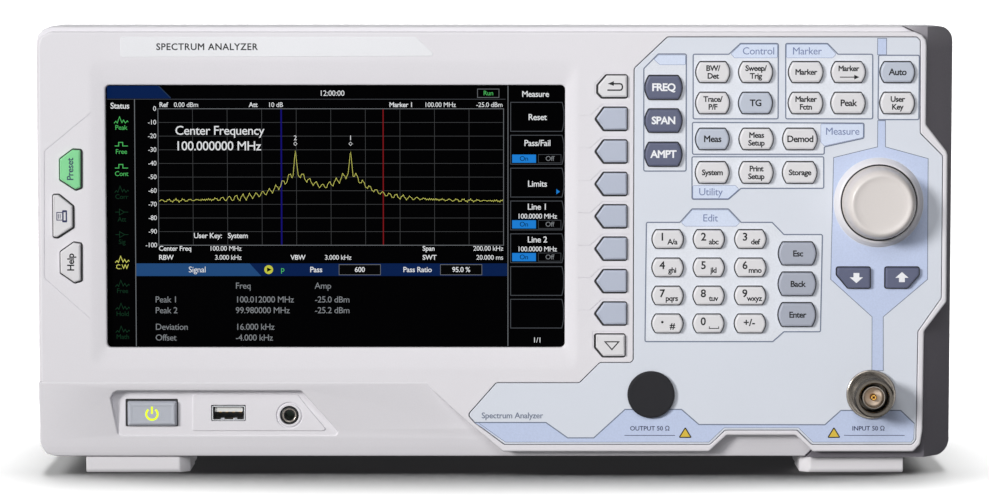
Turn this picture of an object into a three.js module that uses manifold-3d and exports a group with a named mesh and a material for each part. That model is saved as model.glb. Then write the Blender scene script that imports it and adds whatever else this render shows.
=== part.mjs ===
// Bench spectrum analyzer: a wide, shallow instrument case with a light front cover and rear
// case, a display with soft keys, a keypad with a tuning knob, RF connectors, fold-out legs and a
// carry handle that folds flat into the top.
//
// Millimetres. +X is to the right seen from the front, +Z is up, the front faces -Y.
// Origin: on the surface the instrument stands on, below the centre of its overall box.
import * as THREE from 'three';
import { mergeVertices } from 'three/addons/utils/BufferGeometryUtils.js';
import Module from 'manifold-3d';

const wasm = await Module();
wasm.setup();

// ---------------------------------------------------------------- driving dimensions
const HALF_W = 180.8;          // half of the 361.6 wide case
const TOP = 177.0;             // top of the case above the table
const BASE = 6.8;              // underside of the case
const FRONT = -64;             // front face of the cover
const BACK = 64;               // rear face of the case: 128 deep
const REACH = 78;              // knob and connectors stand out to +-78
const GAP = 0.3;               // clearance between neighbouring pieces
const COVER_BACK = -46;        // rear edge of the front cover
const WALL = 2.6;              // case wall
const SKIN = 3.0;              // front cover wall
const CREASE_Z = 36.3;         // the chin slopes back below this line
const CHIN_Y = -57.5;          // chin surface at its lower edge
const PANEL_Y = -63.8;         // face of the inlaid control panel
const PANEL_BACK = -61.8;
const KEY_Y = -65.8;           // face of the panel keys
const COVER_KEY_Y = -65.4;     // face of the keys in the cover
const TRAVEL = 1.2;            // key travel
const KNOB = { x: 150.5, z: 108.0, r: 14.5 };
const RF = { x: 148.0, z: 32.3 };
const GEN = { x: 61.3, z: 32.2, r: 9.3 };
const HANDLE = { y: -4, z: 173, half: 100 };
const LEG = { y: -25, z: 3.6 };
const FAN = { x: 108, z: 122, r: 26 };

// ---------------------------------------------------------------- helpers
function solid(geo) {
  geo = geo.clone();
  for (const n of Object.keys(geo.attributes)) if (n !== 'position') geo.deleteAttribute(n);
  const g = mergeVertices(geo, 1e-4);
  const idx = g.index.array, tri = [];
  for (let i = 0; i < idx.length; i += 3)
    if (idx[i] !== idx[i + 1] && idx[i + 1] !== idx[i + 2] && idx[i] !== idx[i + 2]) tri.push(idx[i], idx[i + 1], idx[i + 2]);
  return new wasm.Manifold(new wasm.Mesh({
    numProp: 3, vertProperties: new Float32Array(g.attributes.position.array), triVerts: new Uint32Array(tri),
  }));
}
const area = (p) => p.reduce((s, a, i) => { const b = p[(i + 1) % p.length]; return s + a[0] * b[1] - b[0] * a[1]; }, 0) / 2;
const ccw = (p) => (area(p) < 0 ? [...p].reverse() : p);
// outline in (x, z) made solid between two y planes
function prism(pts, y0, y1) {
  const s = new THREE.Shape(ccw(pts).map(([x, z]) => new THREE.Vector2(x, z)));
  const g = new THREE.ExtrudeGeometry(s, { depth: y1 - y0, bevelEnabled: false });
  g.applyMatrix4(new THREE.Matrix4().makeBasis(new THREE.Vector3(1, 0, 0), new THREE.Vector3(0, 0, 1), new THREE.Vector3(0, -1, 0)));
  g.translate(0, y1, 0);
  return solid(g);
}
// profile in (y, z) made solid between two x planes
function bar(pts, x0, x1) {
  const s = new THREE.Shape(ccw(pts).map(([y, z]) => new THREE.Vector2(y, z)));
  const g = new THREE.ExtrudeGeometry(s, { depth: x1 - x0, bevelEnabled: false });
  g.applyMatrix4(new THREE.Matrix4().makeBasis(new THREE.Vector3(0, 1, 0), new THREE.Vector3(0, 0, 1), new THREE.Vector3(1, 0, 0)));
  g.translate(x0, 0, 0);
  return solid(g);
}
// outline in (x, y) made solid between two z planes
function slab(pts, z0, z1) {
  const s = new THREE.Shape(ccw(pts).map(([x, y]) => new THREE.Vector2(x, y)));
  const g = new THREE.ExtrudeGeometry(s, { depth: z1 - z0, bevelEnabled: false });
  g.translate(0, 0, z0);
  return solid(g);
}
function box(x0, x1, y0, y1, z0, z1) {
  const g = new THREE.BoxGeometry(x1 - x0, y1 - y0, z1 - z0);
  g.translate((x0 + x1) / 2, (y0 + y1) / 2, (z0 + z1) / 2);
  return solid(g);
}
function cylY(x, z, r, y0, y1, n = 24, r2 = r) {
  const g = new THREE.CylinderGeometry(r2, r, y1 - y0, n);     // r at y0, r2 at y1
  g.translate(x, (y0 + y1) / 2, 0);
  const h = new THREE.CylinderGeometry(r2, r, y1 - y0, n);
  h.translate(0, (y0 + y1) / 2, 0);
  h.rotateY(Math.PI / n);
  h.translate(x, 0, z);
  return solid(h);
}
function cylX(y, z, r, x0, x1, n = 16) {
  const h = new THREE.CylinderGeometry(r, r, x1 - x0, n);
  h.rotateY(Math.PI / n);
  h.rotateZ(-Math.PI / 2);
  h.translate((x0 + x1) / 2, y, z);
  return solid(h);
}
const union = (...a) => a.reduce((p, q) => p.add(q));
const cut = (a, ...b) => b.reduce((p, q) => p.subtract(q), a);
// mitred offset of an outline, outwards for positive d
function grow(pts, d) {
  const p = ccw(pts), n = p.length;
  return p.map((b, i) => {
    const a = p[(i + n - 1) % n], c = p[(i + 1) % n];
    const u = [b[0] - a[0], b[1] - a[1]], v = [c[0] - b[0], c[1] - b[1]];
    const lu = Math.hypot(...u), lv = Math.hypot(...v);
    const n1 = [u[1] / lu, -u[0] / lu], n2 = [v[1] / lv, -v[0] / lv];
    const k = d / (1 + n1[0] * n2[0] + n1[1] * n2[1]);
    return [b[0] + (n1[0] + n2[0]) * k, b[1] + (n1[1] + n2[1]) * k];
  });
}
// rectangle with rounded corners, radii from bottom left anticlockwise
function rounded(x0, x1, z0, z1, r, n = 4) {
  const R = Array.isArray(r) ? r : [r, r, r, r], out = [];
  const c = [[x0 + R[0], z0 + R[0], 180], [x1 - R[1], z0 + R[1], 270], [x1 - R[2], z1 - R[2], 0], [x0 + R[3], z1 - R[3], 90]];
  c.forEach(([cx, cz, a], k) => {
    for (let i = 0; i <= n; i++) {
      const t = (a + (90 * i) / n) * Math.PI / 180;
      out.push([cx + R[k] * Math.cos(t), cz + R[k] * Math.sin(t)]);
    }
  });
  return out;
}
const rect = (x0, x1, z0, z1) => [[x0, z0], [x1, z0], [x1, z1], [x0, z1]];

// ---------------------------------------------------------------- outlines of the case and cover
const CASE = rounded(-HALF_W, HALF_W, BASE, TOP, 6);
// stepped right edge of the cover's raised face, from top to bottom
const RIM = [[164.2, 175.0], [166.9, 173.8], [168.6, 171.8], [168.9, 169.5], [168.9, 138.6], [177.0, 128.2], [177.5, 126.6],
  [177.6, 68.8], [168.9, 57.2], [168.6, 17.6], [167.7, 12.3], [165.0, 9.4]];
const NOTCH = [[125.4, 9.4], [118.6, 15.9], [91.4, 15.9], [84.4, 9.4]];
const FACE = [...RIM, ...NOTCH, [3.0, 9.4], [-10.5, 20.6], [-27.8, CREASE_Z], [-179.3, CREASE_Z],
  [-179.3, 169.6], [-178.2, 173.0], [-174.6, 175.0]];
// inlaid control panel
const PANEL = [[54.5, 160.6], [67.4, 172.8], [164.8, 172.8], [166.2, 171.6], [166.5, 135.2], [175.4, 126.3], [175.4, 70.4],
  [166.3, 57.2], [165.9, 14.2], [164.6, 12.4], [125.0, 12.4], [119.2, 18.1], [90.6, 18.1], [84.7, 12.4], [3.6, 12.4],
  [-8.1, 21.1], [-10.7, 24.0], [0.4, 36.6], [33.2, 36.6], [41.2, 44.6], [53.4, 44.6], [54.5, 45.8]];

// ---------------------------------------------------------------- keys: name, outline, colour
const barrel = (x0, x1, z0, z1, c = 1.3) => {
  const m = (z0 + z1) / 2;
  return [[x0 + c, z0], [x1 - c, z0], [x1, m - 1.1], [x1, m + 1.1], [x1 - c, z1], [x0 + c, z1], [x0, m + 1.1], [x0, m - 1.1]];
};
const LIGHT = 0xd6d5da, SOFT = 0xb1b7c7, TINT = 0xa9b3c6, SLATE = 0x6a6e85, EDIT = 0xabb1c0, GREEN = 0x8fcf9f;
const COL = [[78.6, 91.6], [95.4, 108.4], [114.9, 128.1], [131.6, 144.7], [150.8, 164.0]];
const ROW = [[155.3, 163.1], [143.1, 151.1]];
const MCOL = [[78.6, 91.5], [95.7, 108.8], [112.8, 126.0]];
const panelKeys = [
  ['freq_key', barrel(58.7, 73.0, 148.7, 157.7), SLATE], ['span_key', barrel(58.7, 73.0, 135.8, 144.6), SLATE],
  ['ampt_key', barrel(58.7, 73.0, 122.5, 131.5), SLATE],
  ['bw_key', barrel(...COL[0], ...ROW[0]), LIGHT], ['sweep_key', barrel(...COL[1], ...ROW[0]), LIGHT],
  ['trace_key', barrel(...COL[0], ...ROW[1]), LIGHT], ['tg_key', barrel(...COL[1], ...ROW[1]), TINT],
  ['marker_key', barrel(...COL[2], ...ROW[0]), LIGHT], ['marker_to_key', barrel(...COL[3], ...ROW[0]), LIGHT],
  ['marker_fctn_key', barrel(...COL[2], ...ROW[1]), LIGHT], ['peak_key', barrel(...COL[3], ...ROW[1]), LIGHT],
  ['auto_key', barrel(...COL[4], ...ROW[0]), TINT], ['user_key', barrel(...COL[4], ...ROW[1]), LIGHT],
  ['meas_key', barrel(...MCOL[0], 129.0, 137.0), TINT], ['meas_setup_key', barrel(...MCOL[1], 129.0, 137.0), LIGHT],
  ['demod_key', barrel(...MCOL[2], 129.0, 137.0), LIGHT],
  ['system_key', barrel(...MCOL[0], 115.8, 123.9), LIGHT], ['print_setup_key', barrel(...MCOL[1], 115.8, 123.9), LIGHT],
  ['storage_key', barrel(...MCOL[2], 115.8, 123.9), LIGHT],
  ['down_key', [[134.3, 79.6], [138.7, 74.4], [147.3, 74.4], [147.3, 82.4], [134.3, 82.4]], SLATE],
  ['up_key', [[153.4, 74.4], [162.0, 74.4], [166.5, 79.6], [166.5, 82.4], [153.4, 82.4]], SLATE],
];
const NCOL = [[61.7, 73.7], [77.9, 89.8], [94.2, 106.2]];
const NROW = [[90.2, 97.1], [79.0, 85.9], [67.9, 74.8], [56.8, 63.8]];
const strips = [
  ['number_keys_1_2_3', NCOL.map((c) => barrel(...c, ...NROW[0])), LIGHT],
  ['number_keys_4_5_6', NCOL.map((c) => barrel(...c, ...NROW[1])), LIGHT],
  ['number_keys_7_8_9', NCOL.map((c) => barrel(...c, ...NROW[2])), LIGHT],
  ['number_keys_point_0_sign', NCOL.map((c) => barrel(...c, ...NROW[3])), LIGHT],
  ['esc_back_enter_keys', [[83.6, 92.3], [71.5, 80.4], [59.3, 68.3]].map(([a, b]) => barrel(111.4, 125.9, a, b)), EDIT],
];
const soft = (z) => [[39.6, z], [42.7, z - 4.25], [51.5, z - 4.25], [51.5, z + 4.25], [42.7, z + 4.25]];
const coverKeys = [
  ['preset_key', [[-170.9, 117.2], [-164.9, 113.3], [-162.9, 114.0], [-162.8, 128.6], [-165.9, 128.8], [-170.9, 125.1]], GREEN, -47.0],
  ['print_key', [[-173.7, 94.7], [-172.2, 94.5], [-166.2, 98.4], [-166.2, 106.6], [-171.6, 111.0], [-173.7, 111.0]], LIGHT, -47.0],
  ['help_key', [[-171.0, 80.5], [-165.6, 76.7], [-163.2, 77.4], [-163.1, 91.8], [-165.9, 92.2], [-171.0, 88.6]], LIGHT, -47.0],
  ['return_key', [[40.3, 151.2], [41.9, 149.5], [51.5, 149.5], [51.5, 157.9], [43.6, 157.9], [40.3, 154.1]], LIGHT, -56],
  ['page_key', [[39.6, 51.0], [42.5, 47.5], [50.9, 47.5], [50.9, 55.9], [39.6, 55.9]], LIGHT, -56],
];
[140.95, 128.15, 115.4, 102.65, 89.9, 77.1, 64.3].forEach((z, i) => coverKeys.splice(4 + i, 0, [`softkey_${i + 1}`, soft(z), SOFT, -56]));
const mid = (p) => [p.reduce((s, q) => s + q[0], 0) / p.length, p.reduce((s, q) => s + q[1], 0) / p.length];

// ---------------------------------------------------------------- assembly
const group = new THREE.Group();
group.name = 'spectrum_analyzer';
function add(name, m, color, roughness = 0.55, metalness = 0) {
  const g = new THREE.BufferGeometry(), q = m.getMesh();
  const step = q.numProp, v = q.vertProperties, pos = new Float32Array((v.length / step) * 3);
  for (let i = 0; i < v.length / step; i++) for (let k = 0; k < 3; k++) pos[i * 3 + k] = v[i * step + k];
  g.setAttribute('position', new THREE.BufferAttribute(pos, 3));
  g.setIndex(new THREE.BufferAttribute(new Uint32Array(q.triVerts), 1));
  g.computeVertexNormals();
  const mesh = new THREE.Mesh(g, new THREE.MeshStandardMaterial({ color, roughness, metalness }));
  mesh.name = name;
  group.add(mesh);
}

// front cover: flat face with a stepped right edge, a chin that slopes back, hollow behind
const chinY = (z) => CHIN_Y - ((z - BASE) / (CREASE_Z - BASE)) * (CHIN_Y - FRONT);
const coverOuter = [...RIM.slice(0, -1).map(([x, z]) => [x, z]), [165.0, 9.4], [125.6, 9.4], [122.9, BASE], [-174.8, BASE],
  [-178.2, 7.9], [-180.2, 10.4], [-HALF_W, 13.0], [-HALF_W, 170.6], [-180.0, 173.6], [-178.0, 175.8], [-174.8, 176.8], [160.5, 176.8]];
let cover = union(
  prism(FACE, FRONT, -53),
  prism(coverOuter, -56.5, COVER_BACK),
  // chin
  bar([[FRONT, CREASE_Z], [CHIN_Y, BASE + 0.6], [-56.9, BASE], [-50, BASE], [-50, CREASE_Z]], -174.8, 122.9),
  bar([[FRONT, CREASE_Z], [chinY(13), 13], [-50, 13], [-50, CREASE_Z]], -HALF_W, -174.8),
);
cover = cut(cover,
  // hollow behind the face, the chin and the right edge
  prism([[-178.2, 40], [-178.2, 173.6], [164.5, 173.6], [166.3, 171.0], [166.3, 137.4], [174.9, 126.6], [174.9, 69.6], [166.3, 58.2], [166.3, 40]], -61, COVER_BACK + 1),
  prism([[-178.2, 9.6], [-178.2, 40.5], [166.3, 40.5], [166.3, 12.0], [122.0, 12.0], [121.0, 9.6]], -55.5, COVER_BACK + 1),
  prism([[8, 20.5], [8, 42], [166.0, 42], [166.0, 20.5]], -60, -55),
  // display opening
  prism([[-153.1, 50.7], [-153.1, 154.1], [27.3, 154.1], [27.3, 50.7]], FRONT - 1, -60),
  // seat of the control panel and the opening behind its keys
  prism(grow(PANEL, GAP), FRONT - 1, PANEL_BACK + 0.3 - 0.2),
  prism([[57.5, 50.5], [57.5, 159.5], [68.6, 169.8], [165.4, 169.8], [165.4, 134.4], [172.3, 125.4], [172.3, 71.5], [163.3, 58.2], [163.3, 50.5]], -63, -58),
  // pocket of the front connectors: a flat floor cut into the sloping chin
  prism([[-152.0, 30.5], [-150.9, 32.6], [-149.0, 33.5], [-76.7, 33.5], [-61.2, 15.5], [-149.4, 15.5]], FRONT - 2, -59),
  prism(rect(-145.9, -125.8, 18.9, 29.3), FRONT, -55),
  prism(rect(-112.5, -98.9, 21.0, 27.4), FRONT, -55),
  cylY(-81.6, 23.3, 3.7, FRONT, -55, 20),
  // openings of the two RF ports
  cylY(RF.x, RF.z, 7.9, -63, -58, 28), cylY(GEN.x, GEN.z, 7.4, -63, -58, 28),
  ...coverKeys.map(([, p]) => prism(grow(p, GAP), FRONT - 1, -60)),
);
// bevelled edge round the display opening
cover = cut(cover, (() => {
  const a = [[-158.9, 42.6], [32.0, 42.6], [32.0, 163.2], [-158.9, 163.2]], b = [[-153.1, 50.7], [27.3, 50.7], [27.3, 154.1], [-153.1, 154.1]];
  const pos = [];
  for (const [x, z] of a) pos.push(x, FRONT - 0.01, z);
  for (const [x, z] of b) pos.push(x, -61.8, z);
  const g = new THREE.BufferGeometry();
  g.setAttribute('position', new THREE.BufferAttribute(new Float32Array(pos), 3));
  g.setIndex([0, 1, 2, 0, 2, 3, 4, 6, 5, 4, 7, 6, 0, 5, 1, 0, 4, 5, 1, 6, 2, 1, 5, 6, 2, 7, 3, 2, 6, 7, 3, 4, 0, 3, 7, 4]);
  return solid(g);
})());
add('front_bezel', cover, 0xdddce0, 0.5);

// inlaid control panel with a collar round the knob
let panel = union(prism(PANEL, PANEL_Y, PANEL_BACK), cylY(KNOB.x, KNOB.z, 17.6, -66.0, -63, 40));
panel = cut(panel,
  cylY(KNOB.x, KNOB.z, 15.5, -67, -62.9, 40), cylY(KNOB.x, KNOB.z, 4.0, -64, -61, 20),
  cylY(RF.x, RF.z, 7.9, -65, -61, 28), cylY(GEN.x, GEN.z, 7.4, -65, -61, 28),
  ...panelKeys.map(([, p]) => prism(grow(p, GAP), -65, -61)),
  ...strips.flatMap(([, ps]) => ps.map((p) => prism(grow(p, GAP), -65, -61))),
);
add('control_panel', panel, 0xcfd5e0, 0.5);

// display: window pane and the panel module behind it
add('display_window', box(-156.5, 30.4, -60.7, -58.9, 47.4, 157.4), 0x050507, 0.12);
add('lcd_module', union(box(-156.5, 30.4, -58.6, -51.5, 47.4, 157.4), box(-120, -20, -51.5, -49.5, 60, 130)), 0x8d9094, 0.4, 0.8);

// keypad board with the rotary encoder of the knob
add('keypad_board', cut(union(
  prism([[33, 49], [164.6, 49], [164.6, 59.0], [173.2, 70.6], [173.2, 125.8], [164.6, 136.6], [164.6, 171.6], [33, 171.6]], -55.9, -54.3),
  box(143.5, 157.5, -61.2, -55.9, 101, 115)), cylY(KNOB.x, KNOB.z, 3.5, -62, -53, 20)), 0x1f5a3a, 0.6);

// board behind the chin and the left keys, with the front USB socket and the phones jack
add('front_io_board', cut(union(
  prism([[-176.5, 11], [-60, 11], [-60, 35], [-159.5, 35], [-159.5, 132], [-176.5, 132]], -46.9, -46.9 + 1.5),
  box(-113.2, -98.2, -55.2, -46.9, 20.2, 28.2), cylY(-81.6, 23.3, 3.3, -59.2, -46.9, 20)),
  box(-112.0, -99.4, -56, -47.6, 21.5, 26.9), cylY(-81.6, 23.3, 1.8, -60, -48.0, 14)), 0x2a6b45, 0.6);

// keys
for (const [name, p, color] of panelKeys) {
  const [cx, cz] = mid(p);
  add(name, union(prism(p, KEY_Y, -61.2), prism(grow(p, 0.9), -61.4, -60.4), box(cx - 2, cx + 2, -60.6, -57.6, cz - 2, cz + 2)), color, 0.5);
}
for (const [name, ps, color] of strips) {
  const parts = ps.map((p) => union(prism(p, KEY_Y, -61.2), box(mid(p)[0] - 2, mid(p)[0] + 2, -60.6, -57.6, mid(p)[1] - 2, mid(p)[1] + 2)));
  const all = ps.flat(), xs = all.map((q) => q[0]), zs = all.map((q) => q[1]);
  parts.push(box(Math.min(...xs) - 0.8, Math.max(...xs) + 0.8, -61.4, -60.4, Math.min(...zs) - 0.8, Math.max(...zs) + 0.8));
  add(name, union(...parts), color, 0.5);
}
for (const [name, p, color, back] of coverKeys) {
  const [cx, cz] = mid(p);
  add(name, union(prism(p, COVER_KEY_Y, -60.4), prism(grow(p, 0.9), -60.6, -59.6), box(cx - 2, cx + 2, -59.8, back - 1.6, cz - 2, cz + 2)), color, 0.5);
}
add('power_button', union(prism(rounded(-145.6, -126.1, 19.2, 29.0, 0.8, 1), -61.2, -55.0), box(-147.0, -124.7, -55.2, -54.2, 17.8, 30.4),
  box(-138, -134, -54.4, -48.5, 22, 26)), 0xb6b6c0, 0.4);

// tuning knob: cap, skirt and shaft
add('tuning_knob', union(cylY(KNOB.x, KNOB.z, 10.4, -REACH, -76.9, 36, 11.8), cylY(KNOB.x, KNOB.z, 11.8, -76.9, -75.5, 36, 13.6),
  cylY(KNOB.x, KNOB.z, 13.6, -75.5, -67.2, 36, KNOB.r), cylY(KNOB.x, KNOB.z, KNOB.r, -67.2, -64.0, 36), cylY(KNOB.x, KNOB.z, 3.0, -64.0, -57.0, 16)), 0xd3cfcf, 0.5);

// RF input: type N socket with flange, threaded barrel and centre contact
add('rf_input_connector', union(cut(union(cylY(RF.x, RF.z, 9.7, -65.7, -64.1, 32), cylY(RF.x, RF.z, 7.8, -REACH, -65.7, 32),
  cylY(RF.x, RF.z, 7.3, -65.7, -50.5, 24), cylY(RF.x, RF.z, 2.2, -50.5, -41.2, 12)), cylY(RF.x, RF.z, 5.6, -REACH - 1, -68, 24)),
  cylY(RF.x, RF.z, 1.35, -75.5, -67.5, 12)), 0xb9b4ad, 0.25, 1);
// cap that closes the unused generator port
add('gen_output_cap', union(cylY(GEN.x, GEN.z, GEN.r - 0.5, -65.7, -65.1, 36, GEN.r), cylY(GEN.x, GEN.z, GEN.r, -65.1, -64.1, 36), cylY(GEN.x, GEN.z, 7.0, -64.1, -59.2, 24)), 0x2f2e34, 0.45);

// chassis tray: floor and front bulkhead
add('chassis', cut(union(box(-172, 172, -44, 58, 10.2, 11.6), box(-172, 172, -44, -42.6, 10.2, 160)),
  box(-150, 20, -45, -42, 62, 128), box(60, 140, -45, -42, 62, 140), cylY(RF.x, RF.z, 3.6, -45, -42, 16), cylY(GEN.x, GEN.z, 5, -45, -42, 16)), 0xb7bbbd, 0.35, 1);
// shielded RF module
add('rf_module', union(box(44, 170, -40.8, 16, 12.2, 46), box(60, 160, -36, 12, 46, 47.5)), 0xc2c4c6, 0.35, 1);

// main board with its rear connectors: three BNC sockets, LAN and USB device
const BNC = [-150, -126, -102];
add('main_board', cut(union(box(-168, 36, -38, 57, 24, 25.6), box(-60, -20, -20, 20, 25.6, 29.6),
  box(-72.0, -56.0, 44, 64.6, 25.6, 39.2), box(-46.0, -34.0, 50, 64.6, 25.6, 36.6),
  ...BNC.map((x) => union(box(x - 7, x + 7, 50, 60.6, 25.6, 42), cylY(x, 34, 6.0, 60.6, 67.0, 20), cylY(x, 34, 4.8, 67.0, REACH, 20)))),
  box(-69.9, -58.1, 52, 66, 28.2, 36.6), box(-44.2, -35.8, 55, 66, 27.2, 35.0),
  ...BNC.map((x) => cut(cylY(x, 34, 4.1, 69, REACH + 1, 16), cylY(x, 34, 1.0, 69, 75, 8)))), 0x1e5c3a, 0.55);

// power supply with the appliance inlet on its rear edge
add('power_supply', cut(union(box(74, 168, 20, 56, 14, 15.6), box(80, 112, 24, 46, 15.6, 46), box(136, 164, 24, 46, 15.6, 40), box(116, 132, 26, 44, 15.6, 34),
  box(116.5, 145.5, 46, 64.9, 15.6, 44.6)), box(119.0, 143.0, 50, 66, 21.0, 37.5)), 0x23252a, 0.5);

// fan frame and rotor
const ring = (r) => cylY(FAN.x, FAN.z, r, 40, 60.8, 32);
add('fan', union(cut(box(FAN.x - 30, FAN.x + 30, 41, 60.8, FAN.z - 30, FAN.z + 30), ring(28.2)),
  box(FAN.x - 29, FAN.x + 29, 41, 43, FAN.z - 1.6, FAN.z + 1.6), box(FAN.x - 1.6, FAN.x + 1.6, 41, 43, FAN.z - 29, FAN.z + 29),
  cylY(FAN.x, FAN.z, 12, 41, 43, 20), cylY(FAN.x, FAN.z, 2.0, 42.5, 52, 10)), 0x1b1c1f, 0.5);
const blades = [];
for (let i = 0; i < 7; i++) {
  const g = new THREE.BoxGeometry(16, 9, 1.4);
  g.translate(18.6, 0, 0);
  g.rotateX(0.6);
  g.rotateY((i * 2 * Math.PI) / 7);
  g.translate(FAN.x, 51, FAN.z);
  blades.push(solid(g));
}
add('fan_rotor', union(cut(cylY(FAN.x, FAN.z, 12, 44, 59, 20), cylY(FAN.x, FAN.z, 2.6, 43, 53, 12)), ...blades), 0x232427, 0.5);

// rear case: shell with the slanted flank beside the cover, a handle recess, vents and rear cut-outs;
// its top falls 1.4 mm from the front of the recess to the rear edge
const flankCut = slab([[168.6, -61], [HALF_W + 2, -61], [HALF_W + 2, -46.6], [HALF_W, -48.6]], 0, 200);
let rear = cut(prism(CASE, COVER_BACK + GAP, BACK), prism(rounded(-HALF_W + WALL, HALF_W - WALL, BASE + WALL, TOP - WALL, 4), COVER_BACK - 1, BACK - WALL));
let flank = cut(prism(CASE, -60.0, COVER_BACK + GAP + 0.01), prism(grow(coverOuter, GAP), -70, COVER_BACK + GAP + 0.02), prism(grow(FACE, GAP), -70, -50),
  box(-200, 120, -70, -40, 0, 200), flankCut, prism([[164.3, 40], [176.4, 40], [176.4, 160], [164.3, 160]], -50, -40));
rear = union(rear, flank, box(-108, 108, -14, BACK - 1, 166.6, 175.5));
rear = cut(rear, box(-104, 104, -10, 59.6, 169.2, 180), cylX(HANDLE.y, HANDLE.z, 2.7, -107.2, -103, 16), cylX(HANDLE.y, HANDLE.z, 2.7, 103, 107.2, 16),
  box(-46, 46, 44, 58, 167.9, 172),
  ...BNC.map((x) => cylY(x, 34, 6.5, 60, 66, 20)),
  box(-72.4, -55.6, 60, 66, 25.2, 39.6), box(-46.4, -33.6, 60, 66, 25.2, 37.0), box(116.1, 145.9, 60, 66, 15.2, 45.0),
  ...[0, 1, 2, 3, 4, 5, 6].map((i) => box(FAN.x - Math.sqrt(26 * 26 - (i - 3) ** 2 * 49), FAN.x + Math.sqrt(26 * 26 - (i - 3) ** 2 * 49), 60, 66, FAN.z + (i - 3) * 7 - 2, FAN.z + (i - 3) * 7 + 2)),
  bar([[-12, TOP], [BACK + 1, TOP - 1.42], [BACK + 1, TOP + 5], [-12, TOP + 5]], -HALF_W - 1, HALF_W + 1),
  ...[0, 1, 2, 3, 4, 5, 6, 7].flatMap((i) => [box(-184, -176, -20 + i * 8, -17 + i * 8, 40, 120), box(176, 184, -20 + i * 8, -17 + i * 8, 40, 120)]),
);
// lugs that carry the pins of the fold-out legs
const lug = (x0, x1) => cut(box(x0, x1, -29, -21, 0.8, BASE + 0.2), cylX(LEG.y, LEG.z, 1.9, x0 - 1, x1 + 1, 12));
const LEGS = [['left_leg', -162.6, -121.4, 1], ['right_leg', 120.8, 162.0, -1]];
rear = union(rear, ...LEGS.flatMap(([, a, b]) => [lug(a, a + 3.6), lug(b - 3.6, b)]));
add('rear_case', rear, 0xd3d1d6, 0.55);

// fold-out legs, narrower at the hinge, with one slanted end
const heel = [];
for (let i = 0; i <= 6; i++) { const t = (-70 + (i * 160) / 6) * Math.PI / 180; heel.push([LEG.y + 2.85 * Math.cos(t), LEG.z + 2.85 * Math.sin(t)]); }
for (const [name, a, b, s] of LEGS) {
  const i0 = s > 0 ? a : a + 4.2, i1 = s > 0 ? b - 4.2 : b;
  const plan = [[i0, -56.0], [i1, -56.0], [b, -52.5], [b, -31.5], [b - 4.2, -31.5], [b - 4.2, -21], [a + 4.2, -21], [a + 4.2, -31.5], [a, -31.5], [a, -52.5]];
  const side = [[-56, 6.45], [-56, 1.2], [-55.2, 0], [-28.5, 0], ...heel];
  add(name, union(bar(side, a - 1, b + 1).intersect(slab(plan, -1, 8)), cylX(LEG.y, LEG.z, 1.45, a + 0.6, b - 0.6, 12)), 0xd9d7db, 0.5);
}
add('rear_foot_left', box(-152, -124, 40, 58, 0, BASE - GAP), 0x3a3a3d, 0.8);
add('rear_foot_right', box(124, 152, 40, 58, 0, BASE - GAP), 0x3a3a3d, 0.8);

// carry handle: two arms, a grip and two pins, folded flat into the recess
const round = [];
for (let i = 0; i <= 8; i++) { const t = (90 + (i * 180) / 8) * Math.PI / 180; round.push([HANDLE.y + 3.2 * Math.cos(t), HANDLE.z + 3.2 * Math.sin(t)]); }
const arm = [...round, [50, HANDLE.z - 3.2], [50, HANDLE.z + 3.2]];
add('carry_handle', union(bar(arm, -HANDLE.half - 2.5, -HANDLE.half + 9), bar(arm, HANDLE.half - 9, HANDLE.half + 2.5),
  box(-HANDLE.half - 2.5, HANDLE.half + 2.5, 45, 58, HANDLE.z - 3.2, HANDLE.z + 3.2),
  cylX(HANDLE.y, HANDLE.z, 2.2, -106.4, -102, 14), cylX(HANDLE.y, HANDLE.z, 2.2, 102, 106.4, 14)), 0x55535a, 0.7);

export default group;
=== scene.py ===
import bpy, bmesh, math
from mathutils import Vector, Matrix


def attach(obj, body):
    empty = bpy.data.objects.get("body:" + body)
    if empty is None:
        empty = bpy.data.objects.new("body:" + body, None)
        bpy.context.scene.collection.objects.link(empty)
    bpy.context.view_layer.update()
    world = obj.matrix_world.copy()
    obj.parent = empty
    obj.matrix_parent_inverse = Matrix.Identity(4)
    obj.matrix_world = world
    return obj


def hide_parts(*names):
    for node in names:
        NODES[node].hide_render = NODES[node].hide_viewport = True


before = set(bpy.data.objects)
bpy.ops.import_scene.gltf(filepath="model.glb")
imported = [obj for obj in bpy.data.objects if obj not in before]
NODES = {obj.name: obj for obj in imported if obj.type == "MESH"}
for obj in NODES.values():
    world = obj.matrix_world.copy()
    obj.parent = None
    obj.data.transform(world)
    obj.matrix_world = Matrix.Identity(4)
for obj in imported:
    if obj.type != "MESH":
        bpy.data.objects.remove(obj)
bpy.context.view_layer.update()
MM = 0.001
scene = bpy.context.scene
BODY = "instrument_body"

# ------------------------------------------------------------------ camera, floor, light
cam = bpy.data.cameras.new("camera")
cam.lens, cam.sensor_width, cam.sensor_fit = 132.93, 36.0, "HORIZONTAL"
cam.clip_start, cam.clip_end = 0.05, 200.0
cam_ob = bpy.data.objects.new("camera", cam)
cam_ob.location = (-0.0004, -1.4956, 0.2012)
cam_ob.rotation_euler = (math.radians(85.5), 0, 0)
scene.collection.objects.link(cam_ob)
scene.camera = cam_ob
scene.view_settings.view_transform = "Standard"
scene.view_settings.look = "None"


def lin(c):
    out = []
    for v in c[:3]:
        v = v / 255.0
        out.append(v / 12.92 if v <= 0.04045 else ((v + 0.055) / 1.055) ** 2.4)
    return (out[0], out[1], out[2], 1.0)


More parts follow.
